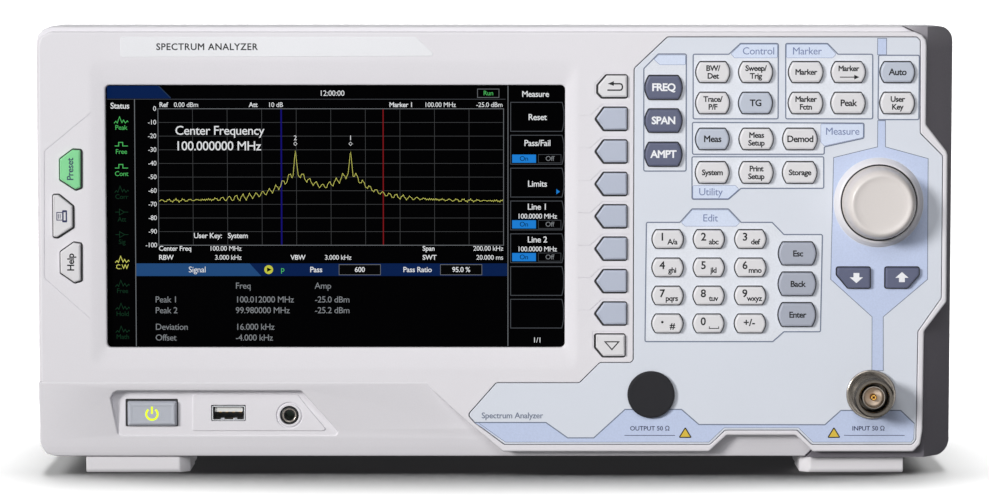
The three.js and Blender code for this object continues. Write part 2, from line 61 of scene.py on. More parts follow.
def sun(name, direction, strength, angle, color=(1, 1, 1)):
    li = bpy.data.lights.new(name, "SUN")
    li.energy, li.angle, li.color = strength, math.radians(angle), color
    ob = bpy.data.objects.new(name, li)
    ob.rotation_euler = Vector(direction).to_track_quat("Z", "Y").to_euler()
    scene.collection.objects.link(ob)
    return ob


# ------------------------------------------------------------------ node helpers for materials
def new_mat(name):
    m = bpy.data.materials.new(name)
    m.use_nodes = True
    nt = m.node_tree
    b = nt.nodes["Principled BSDF"]
    return m, nt, b


def noise(nt, scale, detail=2.0, rough=0.5, coord=None):
    n = nt.nodes.new("ShaderNodeTexNoise")
    n.inputs["Scale"].default_value = scale
    n.inputs["Detail"].default_value = detail
    n.inputs["Roughness"].default_value = rough
    if coord is not None:
        nt.links.new(coord, n.inputs["Vector"])
    return n


def ramp(nt, src, lo, hi, p0=0.35, p1=0.65):
    r = nt.nodes.new("ShaderNodeMapRange")
    r.inputs["From Min"].default_value = p0
    r.inputs["From Max"].default_value = p1
    r.inputs["To Min"].default_value = lo
    r.inputs["To Max"].default_value = hi
    nt.links.new(src, r.inputs["Value"])
    return r.outputs["Result"]


def tinted(nt, base, factor):
    """base colour times a scalar factor socket"""
    mix = nt.nodes.new("ShaderNodeMix")
    mix.data_type, mix.blend_type = "RGBA", "MULTIPLY"
    mix.inputs["Factor"].default_value = 1.0
    if isinstance(base, tuple):
        mix.inputs[6].default_value = base
    else:
        nt.links.new(base, mix.inputs[6])
    comb = nt.nodes.new("ShaderNodeCombineColor")
    for k in range(3):
        nt.links.new(factor, comb.inputs[k])
    nt.links.new(comb.outputs[0], mix.inputs[7])
    return mix.outputs[2]


def plastic(name, rgb, rough=0.5, grain=0.45, bump=0.12, vary=0.03, spec=0.35, coat=0.0, speck=None):
    """moulded plastic: spark-eroded grain, slow colour drift, uneven gloss"""
    m, nt, b = new_mat(name)
    co = nt.nodes.new("ShaderNodeTexCoord").outputs["Object"]
    big = noise(nt, 9.0, 3.0, 0.55, co)
    fine = noise(nt, 1000.0 / grain, 2.0, 0.6, co)
    f1 = ramp(nt, big.outputs["Fac"], 1.0 - vary, 1.0 + vary * 0.5)
    f2 = ramp(nt, fine.outputs["Fac"], 1.0 - vary * 0.7, 1.0 + vary * 0.7, 0.3, 0.7)
    mul = nt.nodes.new("ShaderNodeMath")
    mul.operation = "MULTIPLY"
    nt.links.new(f1, mul.inputs[0])
    nt.links.new(f2, mul.inputs[1])
    nt.links.new(tinted(nt, lin(rgb), mul.outputs[0]), b.inputs["Base Color"])
    nt.links.new(ramp(nt, big.outputs["Fac"], rough - 0.05, rough + 0.07), b.inputs["Roughness"])
    b.inputs["Specular IOR Level"].default_value = spec
    b.inputs["Coat Weight"].default_value = coat
    b.inputs["Coat Roughness"].default_value = 0.2
    if bump:
        vo = nt.nodes.new("ShaderNodeTexVoronoi")
        vo.inputs["Scale"].default_value = 1000.0 / grain * 0.8
        nt.links.new(co, vo.inputs["Vector"])
        add = nt.nodes.new("ShaderNodeMath")
        add.operation = "ADD"
        nt.links.new(fine.outputs["Fac"], add.inputs[0])
        nt.links.new(vo.outputs["Distance"], add.inputs[1])
        bp = nt.nodes.new("ShaderNodeBump")
        bp.inputs["Strength"].default_value = bump
        bp.inputs["Distance"].default_value = 0.0001
        nt.links.new(add.outputs[0], bp.inputs["Height"])
        nt.links.new(bp.outputs["Normal"], b.inputs["Normal"])
    return m


def metal(name, rgb, rough=0.25, brushed=None, vary=0.08, spangle=0.0):
    """plated or brushed metal; brushed is the axis across which the scratches run"""
    m, nt, b = new_mat(name)
    co = nt.nodes.new("ShaderNodeTexCoord").outputs["Object"]
    mp = nt.nodes.new("ShaderNodeMapping")
    nt.links.new(co, mp.inputs["Vector"])
    if brushed is not None:
        s = [30.0, 30.0, 30.0]
        s[brushed] = 2500.0
        mp.inputs["Scale"].default_value = s
        n = noise(nt, 1.0, 4.0, 0.6, mp.outputs[0])
    else:
        n = noise(nt, 900.0, 3.0, 0.6, mp.outputs[0])
    big = noise(nt, 40.0, 3.0, 0.6, co)
    fac = ramp(nt, big.outputs["Fac"], 1.0 - vary, 1.0)
    base = tinted(nt, lin(rgb), fac)
    if spangle:
        vo = nt.nodes.new("ShaderNodeTexVoronoi")
        vo.inputs["Scale"].default_value = 120.0
        nt.links.new(co, vo.inputs["Vector"])
        sep = nt.nodes.new("ShaderNodeSeparateColor")
        nt.links.new(vo.outputs["Color"], sep.inputs[0])
        base = tinted(nt, base, ramp(nt, sep.outputs[0], 1.0 - spangle, 1.0, 0.0, 1.0))
    nt.links.new(base, b.inputs["Base Color"])
    b.inputs["Metallic"].default_value = 1.0
    nt.links.new(ramp(nt, n.outputs["Fac"], rough * 0.75, rough * 1.35), b.inputs["Roughness"])
    bp = nt.nodes.new("ShaderNodeBump")
    bp.inputs["Strength"].default_value = 0.08
    bp.inputs["Distance"].default_value = 0.00005
    nt.links.new(n.outputs["Fac"], bp.inputs["Height"])
    nt.links.new(bp.outputs["Normal"], b.inputs["Normal"])
    return m


def ink(name, rgb, rough=0.55, vary=0.03, glow=0.0):
    """silk-screen ink: slightly uneven film"""
    m, nt, b = new_mat(name)
    co = nt.nodes.new("ShaderNodeTexCoord").outputs["Object"]
    n = noise(nt, 1500.0, 2.0, 0.6, co)
    col = tinted(nt, lin(rgb), ramp(nt, n.outputs["Fac"], 1.0 - vary, 1.0 + vary))
    nt.links.new(col, b.inputs["Base Color"])
    b.inputs["Roughness"].default_value = rough
    b.inputs["Specular IOR Level"].default_value = 0.25
    if glow:
        nt.links.new(col, b.inputs["Emission Color"])
        b.inputs["Emission Strength"].default_value = glow
    return m


def screen_ink(name, rgb, strength=1.0):
    """lit screen element with the fine stripe of the panel's pixel rows"""
    m, nt, b = new_mat(name)
    co = nt.nodes.new("ShaderNodeTexCoord").outputs["Object"]
    w = nt.nodes.new("ShaderNodeTexWave")
    w.wave_type, w.bands_direction = "BANDS", "Z"
    w.inputs["Scale"].default_value = 700.0
    nt.links.new(co, w.inputs["Vector"])
    col = tinted(nt, lin(rgb), ramp(nt, w.outputs["Fac"], 0.92, 1.0, 0.0, 1.0))
    b.inputs["Base Color"].default_value = (0.002, 0.002, 0.002, 1)
    b.inputs["Specular IOR Level"].default_value = 0.0
    nt.links.new(col, b.inputs["Emission Color"])
    b.inputs["Emission Strength"].default_value = strength
    return m


# ------------------------------------------------------------------ outlines
HALF_W, TOP, BASE, FRONT, BACK, REACH = 180.8, 177.0, 6.8, -64.0, 64.0, 78.0
RIM = [(164.2, 175.0), (166.9, 173.8), (168.6, 171.8), (168.9, 169.5), (168.9, 138.6), (177.0, 128.2), (177.5, 126.6),
       (177.6, 68.8), (168.9, 57.2), (168.6, 17.6), (167.7, 12.3), (165.0, 9.4)]
NOTCH = [(125.4, 9.4), (118.6, 15.9), (91.4, 15.9), (84.4, 9.4)]
FACE = RIM + NOTCH + [(3.0, 9.4), (-10.5, 20.6), (-27.8, 36.3), (-179.3, 36.3), (-179.3, 169.6), (-178.2, 173.0), (-174.6, 175.0)]
PANEL = [(54.5, 160.6), (67.4, 172.8), (164.8, 172.8), (166.2, 171.6), (166.5, 135.2), (175.4, 126.3), (175.4, 70.4),
         (166.3, 57.2), (165.9, 14.2), (164.6, 12.4), (125.0, 12.4), (119.2, 18.1), (90.6, 18.1), (84.7, 12.4), (3.6, 12.4),
         (-8.1, 21.1), (-10.7, 24.0), (0.4, 36.6), (33.2, 36.6), (41.2, 44.6), (53.4, 44.6), (54.5, 45.8)]
KNOB, RF, GEN = (150.5, 108.0), (148.0, 32.3), (61.3, 32.2)


def area(p):
    return sum(a[0] * b[1] - b[0] * a[1] for a, b in zip(p, p[1:] + p[:1])) / 2


def ccw(p):
    p = [tuple(q) for q in p]
    return p[::-1] if area(p) < 0 else p


def grow(p, d):
    """mitred offset, outwards for positive d"""
    p = ccw(p)
    out = []
    n = len(p)
    for i in range(n):
        a, b, c = p[i - 1], p[i], p[(i + 1) % n]
        u, v = (b[0] - a[0], b[1] - a[1]), (c[0] - b[0], c[1] - b[1])
        lu, lv = math.hypot(*u) or 1e-9, math.hypot(*v) or 1e-9
        n1, n2 = (u[1] / lu, -u[0] / lu), (v[1] / lv, -v[0] / lv)
        k = d / max(0.35, 1 + n1[0] * n2[0] + n1[1] * n2[1])
        out.append((b[0] + (n1[0] + n2[0]) * k, b[1] + (n1[1] + n2[1]) * k))
    return out


def fillet(p, r, n=5, only=None):
    """rounds the corners of a closed outline"""
    p = ccw(p)
    out = []
    m = len(p)
    for i in range(m):
        a, b, c = Vector(p[i - 1]), Vector(p[i]), Vector(p[(i + 1) % m])
        u, v = (a - b), (c - b)
        lu, lv = u.length, v.length
        if lu < 1e-6 or lv < 1e-6:
            continue
        u.normalize(); v.normalize()
        ang = math.acos(max(-1, min(1, u.dot(v))))
        rr = r[i] if isinstance(r, (list, tuple)) else r
        if ang > math.radians(176) or rr <= 0:
            out.append(tuple(b))
            continue
        t = min(rr / math.tan(ang / 2), lu * 0.48, lv * 0.48)
        rr = t * math.tan(ang / 2)
        bis = (u + v).normalized()
        cen = b + bis * (rr / math.sin(ang / 2))
        s, e = b + u * t, b + v * t
        a0 = math.atan2(s.y - cen.y, s.x - cen.x)
        a1 = math.atan2(e.y - cen.y, e.x - cen.x)
        da = (a1 - a0 + math.pi) % (2 * math.pi) - math.pi
        for k in range(n + 1):
            w = a0 + da * k / n
            out.append((cen.x + rr * math.cos(w), cen.y + rr * math.sin(w)))
    return out


def circle(x, z, r, n=48):
    return [(x + r * math.cos(2 * math.pi * i / n), z + r * math.sin(2 * math.pi * i / n)) for i in range(n)]


def rect(x0, x1, z0, z1):
    return [(x0, z0), (x1, z0), (x1, z1), (x0, z1)]


# ------------------------------------------------------------------ mesh helpers
def make(name, verts, faces, mats, smooth=35, mat_ids=None, scale=MM):
    me = bpy.data.meshes.new(name)
    me.from_pydata([tuple(c * scale for c in v) for v in verts], [], faces)
    return finish_mesh(name, me, mats, smooth, mat_ids)


def finish_mesh(name, me, mats, smooth=35, mat_ids=None, merge=True):
    bm = bmesh.new()
    bm.from_mesh(me)
    if mat_ids is not None:
        bm.faces.ensure_lookup_table()
        for f, i in zip(bm.faces, mat_ids):
            f.material_index = i
    if merge:
        bmesh.ops.remove_doubles(bm, verts=bm.verts, dist=2e-7)
    bmesh.ops.recalc_face_normals(bm, faces=bm.faces)
    ca = math.cos(math.radians(smooth))
    for f in bm.faces:
        f.smooth = smooth > 0
    if smooth > 0:
        # front and back faces stay flat-shaded, so the soft edges don't bleed into them
        for f in bm.faces:
            if abs(f.normal.y) > 0.99995:
                f.smooth = False
    for e in bm.edges:
        if len(e.link_faces) == 2:
            e.smooth = e.link_faces[0].normal.dot(e.link_faces[1].normal) > ca
    bm.to_mesh(me)
    bm.free()
    me.materials.clear()
    for m in (mats if isinstance(mats, (list, tuple)) else [mats]):
        me.materials.append(m)
    ob = bpy.data.objects.new(name, me)
    scene.collection.objects.link(ob)
    return ob


def evaluated(ob):
    dg = bpy.context.evaluated_depsgraph_get()
    dg.update()
    return bpy.data.meshes.new_from_object(ob.evaluated_get(dg))


def drop(ob):
    data = ob.data
    bpy.data.objects.remove(ob)
    if isinstance(data, bpy.types.Curve):
        bpy.data.curves.remove(data)
    elif isinstance(data, bpy.types.Mesh) and data.users == 0:
        bpy.data.meshes.remove(data)


def join(name, obs, smooth=None):
    """one object from several, keeping every material"""
    mats, bm = [], bmesh.new()
    for ob in obs:
        me = ob.data
        remap = []
        for m in me.materials:
            if m not in mats:
                mats.append(m)
            remap.append(mats.index(m))
        start = len(bm.faces)
        tmp = me.copy()
        tmp.transform(ob.matrix_world)
        bm.from_mesh(tmp)
        bm.faces.ensure_lookup_table()
        for f in bm.faces[start:]:
            f.material_index = remap[f.material_index] if remap else 0
        bpy.data.meshes.remove(tmp)
    me = bpy.data.meshes.new(name)
    bm.to_mesh(me)
    bm.free()
    for m in mats:
        me.materials.append(m)
    for ob in obs:
        drop(ob)
    out = bpy.data.objects.new(name, me)
    scene.collection.objects.link(out)
    return out


def plate(name, outer, holes, y0, y1, mat, bevel=0.0, segs=3, both=False, smooth=40):
    """outline with holes in (x, z), solid from y0 (front) to y1, front edge rounded"""
    cu = bpy.data.curves.new(name, "CURVE")
    cu.dimensions, cu.fill_mode = "2D", "BOTH"
    for k, pts in enumerate([outer] + list(holes)):
        pts = ccw(pts)
        if k:
            pts = pts[::-1]
        sp = cu.splines.new("POLY")
        sp.points.add(len(pts) - 1)
        for q, (x, z) in zip(sp.points, pts):
            q.co = (x, z, 0, 1)
        sp.use_cyclic_u = True
    half = (y1 - y0) / 2
    cu.extrude = max(half - bevel, 0.001)
    cu.bevel_depth = bevel
    cu.bevel_resolution = segs
    cu.offset = -bevel
    ob = bpy.data.objects.new(name + "_tmp", cu)
    scene.collection.objects.link(ob)
    me = evaluated(ob)
    drop(ob)
    # local (x, y, z) -> (x, -z, y): the curve's +z faces the front
    me.transform(Matrix(((MM, 0, 0, 0), (0, 0, -MM, (y0 + y1) / 2 * MM), (0, MM, 0, 0), (0, 0, 0, 1))))
    return finish_mesh(name, me, mat, smooth)


def dome(name, outline, levels, mat, crown=0.0, smooth=40, back=True, apex=3):
    """outline lofted along y: levels are (inset, y) from back to front; the last ring is closed with a crowned top"""
    rings = []
    for d, y in levels:
        rings.append([(x, y, z) for x, z in (grow(outline, -d) if d else ccw(outline))])
    n = len(rings[0])
    cx = sum(p[0] for p in rings[-1]) / n
    cz = sum(p[2] for p in rings[-1]) / n
    last = rings[-1]
    for k in range(1, apex):
        t = 1 - k / apex
        rings.append([(cx + (p[0] - cx) * t, last[0][1] - crown * (1 - t * t), cz + (p[2] - cz) * t) for p in last])
    verts = [v for r in rings for v in r]
    faces = []
    for k in range(len(rings) - 1):
        for i in range(n):
            j = (i + 1) % n
            faces.append((k * n + i, k * n + j, (k + 1) * n + j, (k + 1) * n + i))
    verts.append((cx, last[0][1] - crown, cz))
    top = (len(rings) - 1) * n
    for i in range(n):
        faces.append((top + i, top + (i + 1) % n, len(verts) - 1))
    if back:
        faces.append(tuple(range(n - 1, -1, -1)))
    return make(name, verts, faces, mat, smooth)


def lathe(name, profile, cx, cz, mat, n=64, axis="Y", smooth=35, mat_ids=None, closed=True):
    """profile of (radius, along) pairs turned about the axis through (cx, cz)"""
    verts, faces, ids = [], [], []
    ring = []
    for r, t in profile:
        if r < 1e-6:
            ring.append([len(verts)])
            verts.append((cx, t, cz) if axis == "Y" else (t, cx, cz) if axis == "X" else (cx, cz, t))
        else:
            row = []
            for i in range(n):
                a = 2 * math.pi * i / n
                row.append(len(verts))
                if axis == "Y":
                    verts.append((cx + r * math.cos(a), t, cz + r * math.sin(a)))
                elif axis == "X":
                    verts.append((t, cx + r * math.cos(a), cz + r * math.sin(a)))
                else:
                    verts.append((cx + r * math.cos(a), cz + r * math.sin(a), t))
            ring.append(row)
    pairs = list(zip(ring, ring[1:]))
    if closed and not (len(ring[0]) == 1 and len(ring[-1]) == 1):
        pairs.append((ring[-1], ring[0]))
    for k, (a, b) in enumerate(pairs):
        if len(a) == 1 and len(b) == 1:
            continue
        for i in range(n):
            j = (i + 1) % n
            if len(a) == 1:
                faces.append((a[0], b[j], b[i]))
            elif len(b) == 1:
                faces.append((a[i], a[j], b[0]))
            else:
                faces.append((a[i], a[j], b[j], b[i]))
            ids.append(mat_ids[k] if mat_ids else 0)
    return make(name, verts, faces, mat, smooth, ids)


def refined(node, name, mat, width=0.4, segs=3, angle=30, dissolve=1.0, clamp=False, keep=None):
    """fine version of a CAD solid: flat faces merged, every edge rounded"""
    me = NODES[node].data.copy()
    me.materials.clear()
    bm = bmesh.new()
    bm.from_mesh(me)
    bmesh.ops.remove_doubles(bm, verts=bm.verts, dist=2e-6)
    for f in bm.faces:
        f.material_index = 0
    bmesh.ops.dissolve_limit(bm, angle_limit=math.radians(dissolve), verts=bm.verts, edges=bm.edges)
    bmesh.ops.dissolve_degenerate(bm, dist=2e-6, edges=bm.edges)
    bm.to_mesh(me)
    bm.free()
    me.attributes.remove(me.attributes["custom_normal"]) if "custom_normal" in me.attributes else None
    ob = bpy.data.objects.new(name, me)
    scene.collection.objects.link(ob)
    if width:
        mo = ob.modifiers.new("round", "BEVEL")
        mo.limit_method, mo.angle_limit = "ANGLE", math.radians(angle)
        mo.width, mo.segments, mo.use_clamp_overlap = width * MM, segs, clamp
        mo.miter_outer = "MITER_ARC"
        mo.harden_normals = False
        fine = evaluated(ob)
        drop(ob)
    else:
        fine = me.copy()
        drop(ob)
    return finish_mesh(name, fine, mat, 30, merge=False)


def text(name, body, x, z, size, y, mat, bold=0.0, align="CENTER", rot=0.0, thick=0.05, spacing=1.0, line=0.9, shear=0.0):
    """lettering on a plane that faces the front, centred on (x, z) in mm"""
    cu = bpy.data.curves.new(name, "FONT")
    cu.body, cu.size = body, size
    cu.align_x, cu.align_y = align, "CENTER"
    cu.extrude = thick / 2
    cu.space_character, cu.space_line = spacing, line
    cu.shear = shear
    cu.bevel_depth, cu.bevel_resolution = bold, 0
    cu.resolution_u = 3
    ob = bpy.data.objects.new(name + "_tmp", cu)
    scene.collection.objects.link(ob)
    me = evaluated(ob)
    drop(ob)
    me.transform(Matrix.Translation((x * MM, (y + thick / 2) * MM, z * MM)) @ Matrix.Rotation(math.radians(-rot), 4, "Y") @ Matrix.Rotation(math.radians(90), 4, "X") @ Matrix.Scale(MM, 4) @ Matrix.Diagonal((1, 1, thick / (thick + 2 * bold), 1)))
    return finish_mesh(name, me, mat, 0, merge=False)


def flat(name, outers, y, mat, thick=0.05, holes=()):
    """thin printed area"""
    return plate(name, outers, holes, y, y + thick, mat, 0.0)


def stroke(name, pts, w, y, mat, thick=0.05, closed=True):
    """printed line of width w along an outline"""
    if closed:
        return plate(name, grow(pts, w / 2), [grow(pts, -w / 2)], y, y + thick, mat, 0.0)
    left, right = [], []
    n = len(pts)
    for i, p in enumerate(pts):
        a = pts[max(i - 1, 0)]
        c = pts[min(i + 1, n - 1)]
        u = Vector((p[0] - a[0], p[1] - a[1])) if i else Vector((c[0] - p[0], c[1] - p[1]))
        v = Vector((c[0] - p[0], c[1] - p[1])) if i < n - 1 else u.copy()
        u.normalize(); v.normalize()
        n1, n2 = Vector((u.y, -u.x)), Vector((v.y, -v.x))
        k = w / 2 / max(0.3, 1 + n1.dot(n2))
        off = (n1 + n2) * k
        right.append((p[0] + off.x, p[1] + off.y))
        left.append((p[0] - off.x, p[1] - off.y))
    return plate(name, right + left[::-1], [], y, y + thick, mat, 0.0)


def place(ob, body, *nodes, slot=None):
    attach(ob, body)
    if nodes:
        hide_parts(*nodes)
    return ob

from mathutils.geometry import tessellate_polygon


def rings_from(pts, profile):
    """profile of (outward offset, y) turned into explicit rings"""
    return [(grow(pts, d) if abs(d) > 1e-9 else ccw(pts), y) for d, y in profile]


def solid_plate(name, loops, mat, smooth=40, warp=None):
    """closed plate from an outer loop and hole loops. Each loop is a list of (points, y) rings that starts
    on the front face and ends on the back face; front and back are filled between the loops."""
    verts, faces = [], []
    fronts, backs = [], []
    for rings in loops:
        idx = []
        for pts, y in rings:
            row = []
            for x, z in pts:
                row.append(len(verts))
                verts.append((x, y(x, z) if callable(y) else y, z))
            idx.append(row)
        for a, b in zip(idx, idx[1:]):
            n = len(a)
            for i in range(n):
                j = (i + 1) % n
                faces.append((a[i], a[j], b[j], b[i]))
        fronts.append(idx[0])
        backs.append(idx[-1])
    for group in (fronts, backs):
        flat_idx = [i for row in group for i in row]
        polys = [[Vector((verts[i][0], verts[i][2], 0)) for i in row] for row in group]
        for t in tessellate_polygon(polys):
            f = tuple(flat_idx[i] for i in t)
            a, b, c = (Vector((verts[i][0], verts[i][2])) for i in f)
            if abs((b - a).cross(c - a)) > 1e-9:
                faces.append(f)
    return make(name, verts, faces, mat, smooth)


def hole_loop(pts, y0, y1, r=0.25, back=True):
    """hole with a rounded front edge"""
    return rings_from(pts, [(r, y0), (r * 0.62, y0 + r * 0.08), (r * 0.29, y0 + r * 0.29), (r * 0.08, y0 + r * 0.62), (0.0, y0 + r), (0.0, y1)])


def outer_loop(pts, y0, y1, r=0.5):
    return rings_from(pts, [(-r, y0), (-r * 0.62, y0 + r * 0.08), (-r * 0.29, y0 + r * 0.29), (-r * 0.08, y0 + r * 0.62), (0.0, y0 + r), (0.0, y1)])


def boolean(ob, cutters, op="DIFFERENCE"):
    """exact boolean against a list of closed cutters, applied"""
    for c in cutters:
        mo = ob.modifiers.new("cut", "BOOLEAN")
        mo.operation, mo.solver, mo.object = op, "EXACT", c
    me = evaluated(ob)
    old = ob.data
    ob.modifiers.clear()
    ob.data = me
    bpy.data.meshes.remove(old)
    for c in cutters:
        drop(c)
    return ob


def strip(name, pts, w, y0, y1, closed=False):
    """groove cutter: a square bar of width w that follows a path in (x, z)"""
    if closed:
        a, b = grow(pts, w / 2), grow(pts, -w / 2)
        return solid_plate(name, [[(a, y0), (a, y1)], [(b, y0), (b, y1)]], M["cover"], 0)
    left, right = [], []
    n = len(pts)
    for i, p in enumerate(pts):
        a, c = pts[max(i - 1, 0)], pts[min(i + 1, n - 1)]
        u = Vector((p[0] - a[0], p[1] - a[1])) if i else Vector((c[0] - p[0], c[1] - p[1]))
        v = Vector((c[0] - p[0], c[1] - p[1])) if i < n - 1 else u.copy()
        u.normalize(); v.normalize()
        n1, n2 = Vector((u.y, -u.x)), Vector((v.y, -v.x))
        k = w / 2 / max(0.3, 1 + n1.dot(n2))
        off = (n1 + n2) * k
        right.append((p[0] + off.x, p[1] + off.y))
        left.append((p[0] - off.x, p[1] - off.y))
    o = ccw(right + left[::-1])
    return solid_plate(name, [[(o, y0), (o, y1)]], M["cover"], 0)


def slab_x(name, x0, x1, y0, y1, z0, z1, mat, r=0.3, n=3, axis="Y"):
    """box with rounded edges along one axis and softened ends"""
    if axis == "Y":
        o = fillet(rect(x0, x1, z0, z1), r, n)
        loops = rings_from(o, [(-r * 0.5, y0), (-r * 0.15, y0 + r * 0.15), (0, y0 + r * 0.5), (0, y1 - r * 0.5), (-r * 0.15, y1 - r * 0.15), (-r * 0.5, y1)])
        return solid_plate(name, [loops], mat)
    if axis == "Z":
        ob = slab_x(name, x0, x1, z0, z1, y0, y1, mat, r, n)
        m = Matrix(((1, 0, 0, 0), (0, 0, 1, 0), (0, 1, 0, 0), (0, 0, 0, 1)))
    else:
        ob = slab_x(name, y0, y1, x0, x1, z0, z1, mat, r, n)
        m = Matrix(((0, 1, 0, 0), (1, 0, 0, 0), (0, 0, 1, 0), (0, 0, 0, 1)))
    ob.data.transform(m)
    ob.data.flip_normals()
    return ob


# ------------------------------------------------------------------ world, lights, floor
world = bpy.data.worlds.new("studio")
scene.world = world
world.use_nodes = True
wn = world.node_tree
bg = wn.nodes["Background"]
geo = wn.nodes.new("ShaderNodeTexCoord")


def world_term(direction, lo, hi, a, b):
    dot = wn.nodes.new("ShaderNodeVectorMath")
    dot.operation = "DOT_PRODUCT"
    dot.inputs[1].default_value = Vector(direction).normalized()
    wn.links.new(geo.outputs["Generated"], dot.inputs[0])
    mr = wn.nodes.new("ShaderNodeMapRange")
    mr.interpolation_type = "SMOOTHSTEP"
    mr.inputs["From Min"].default_value = a
    mr.inputs["From Max"].default_value = b
    mr.inputs["To Min"].default_value = lo
    mr.inputs["To Max"].default_value = hi
    wn.links.new(dot.outputs["Value"], mr.inputs["Value"])
    return mr.outputs["Result"]


sky = world_term((-0.35, -0.45, 0.82), 0.04, 0.85, -0.4, 1.0)
wn.links.new(sky, bg.inputs["Strength"])
bg.inputs["Color"].default_value = (0.97, 0.98, 1.0, 1.0)
world.cycles_visibility.diffuse = False       # the sky is for reflections, the suns light the instrument
key = sun("key_light", (-0.68, -0.68, 0.26), 2.4, 14, (1.0, 0.985, 0.965))
front = sun("front_light", (0.10, -0.97, 0.15), 0.34, 80, (0.98, 0.985, 1.0))
bank = bpy.data.lights.new("soft_bank", "AREA")      # near the front, so the light falls off towards the floor
bank.shape, bank.size, bank.energy, bank.color = "SQUARE", 0.3, 1.22, (0.98, 0.985, 1.0)
soft = bpy.data.objects.new("soft_bank", bank)
soft.location = (-0.02, -0.62, 0.40)
soft.rotation_euler = (soft.location - Vector((0.0, -0.064, 0.09))).to_track_quat("Z", "Y").to_euler()
scene.collection.objects.link(soft)
over = sun("overhead_light", (-0.2, 0.0, 0.98), 0.04, 120, (0.98, 0.985, 1.0))
right = sun("right_light", (0.95, -0.1, 0.3), 0.10, 90)
back = sun("rear_light", (0.12, 0.99, 0.04), 1.7, 90)
below = sun("low_light", (0.0, -0.6, -0.8), 0.30, 120)
floor_lights = [sun("floor_light", (0, 0.22, 0.975), 10.6, 26), sun("floor_light_left", (-0.72, 0.2, 0.66), 6.3, 40), sun("floor_light_right", (0.72, 0.2, 0.66), 6.3, 40)]

m_floor = bpy.data.materials.new("studio_floor")
m_floor.use_nodes = True
fn = m_floor.node_tree
for n in list(fn.nodes):
    fn.nodes.remove(n)
out = fn.nodes.new("ShaderNodeOutputMaterial")
dif = fn.nodes.new("ShaderNodeBsdfDiffuse")
dif.inputs["Color"].default_value = (0.25, 0.25, 0.25, 1)
fn.links.new(dif.outputs[0], out.inputs["Surface"])
floor = make("studio_floor", [(-60000, -60000, -0.05), (60000, -60000, -0.05), (60000, 60000, -0.05), (-60000, 60000, -0.05)], [(0, 1, 2, 3)], m_floor, 0)
floor.visible_diffuse = False
# the floor has its own lights, the instrument the others
only_floor = bpy.data.collections.new("light_on_floor")
only_floor.objects.link(floor)
not_floor = bpy.data.collections.new("light_off_floor")
not_floor.objects.link(floor)
not_floor.collection_objects[0].light_linking.link_state = "EXCLUDE"
for li in floor_lights:
    li.light_linking.receiver_collection = only_floor
for li in (key, front, soft, over, right, back, below):
    li.light_linking.receiver_collection = not_floor

# ------------------------------------------------------------------ materials
M = {}
M["cover"] = plastic("cover_plastic_fine", (227, 225, 230), 0.46, 0.5, 0.10, 0.018, 0.35)
M["case"] = plastic("case_plastic_fine", (222, 221, 226), 0.50, 0.7, 0.20, 0.02, 0.4)
M["flank"] = plastic("flank_painted_shade_mat", (100, 96, 103), 0.62, 0.8, 0.26, 0.05, 0.3)
# painted shade: the slanted flank is coloured dark grey, darker towards the bottom and lighter towards the top corner,
# in place of the shade on the right-facing side
nt = M["flank"].node_tree
bs = nt.nodes["Principled BSDF"]
old = bs.inputs["Base Color"].links[0].from_node
co = nt.nodes.new("ShaderNodeTexCoord")
sep = nt.nodes.new("ShaderNodeSeparateXYZ")
nt.links.new(co.outputs["Object"], sep.inputs[0])
cr = nt.nodes.new("ShaderNodeValToRGB")
cr.color_ramp.elements[0].color, cr.color_ramp.elements[1].color = lin((104, 101, 108)), lin((222, 221, 226))
for p, c in ((0.5, (122, 118, 125)), (0.86, (128, 124, 131)), (0.92, (150, 147, 153))):
    cr.color_ramp.elements.new(p).color = lin(c)
less = nt.nodes.new("ShaderNodeMath")
less.operation = "SUBTRACT"
nt.links.new(ramp(nt, sep.outputs["Z"], 0.0, 1.0, 0.0, 0.1775), less.inputs[0])
nt.links.new(ramp(nt, sep.outputs["X"], 0.0, 0.085, 0.1500, 0.1690), less.inputs[1])
nt.links.new(less.outputs[0], cr.inputs["Fac"])
nt.links.new(cr.outputs["Color"], old.inputs[6])
M["panel"] = plastic("panel_inlay_satin", (218, 223, 233), 0.42, 0.35, 0.06, 0.015, 0.35)
M["blue"] = ink("panel_blue_zone", (196, 208, 236), 0.5)
M["zone2"] = ink("panel_box_fill", (224, 228, 236), 0.5)
M["tab"] = ink("panel_tab_blue", (213, 223, 243), 0.5)
M["line"] = ink("panel_line_ink", (112, 122, 143), 0.5)
M["word"] = ink("panel_word_ink", (118, 132, 172), 0.5)
M["dark_ink"] = ink("legend_dark_ink", (16, 17, 21), 0.5)
M["white_ink"] = ink("legend_white_ink", (240, 241, 245), 0.5)
M["navy_ink"] = ink("legend_navy_ink", (40, 46, 84), 0.5)
M["amber"] = ink("amber_ink", (222, 190, 70), 0.5)
M["key_light"] = plastic("key_light_satin", (223, 222, 225), 0.40, 0.4, 0.06, 0.012, 0.4)
M["key_soft"] = plastic("key_soft_satin", (182, 189, 206), 0.40, 0.4, 0.06, 0.012, 0.4)
M["key_tint"] = plastic("key_tint_satin", (189, 196, 210), 0.40, 0.4, 0.06, 0.012, 0.4)
M["key_slate"] = plastic("key_slate_satin", (88, 93, 118), 0.42, 0.4, 0.06, 0.02, 0.4)
M["key_edit"] = plastic("key_edit_satin", (167, 172, 186), 0.40, 0.4, 0.06, 0.015, 0.4)
M["key_green"] = plastic("key_green_satin", (128, 214, 148), 0.30, 0.4, 0.04, 0.02, 0.5, 0.3)
M["knob"] = plastic("knob_plastic_satin", (220, 214, 211), 0.34, 0.5, 0.07, 0.015, 0.5)
M["ring"] = plastic("knob_collar_satin", (222, 221, 226), 0.30, 0.5, 0.05, 0.012, 0.5)
M["cap"] = plastic("cap_plastic_black", (27, 27, 31), 0.55, 0.5, 0.12, 0.05, 0.22)
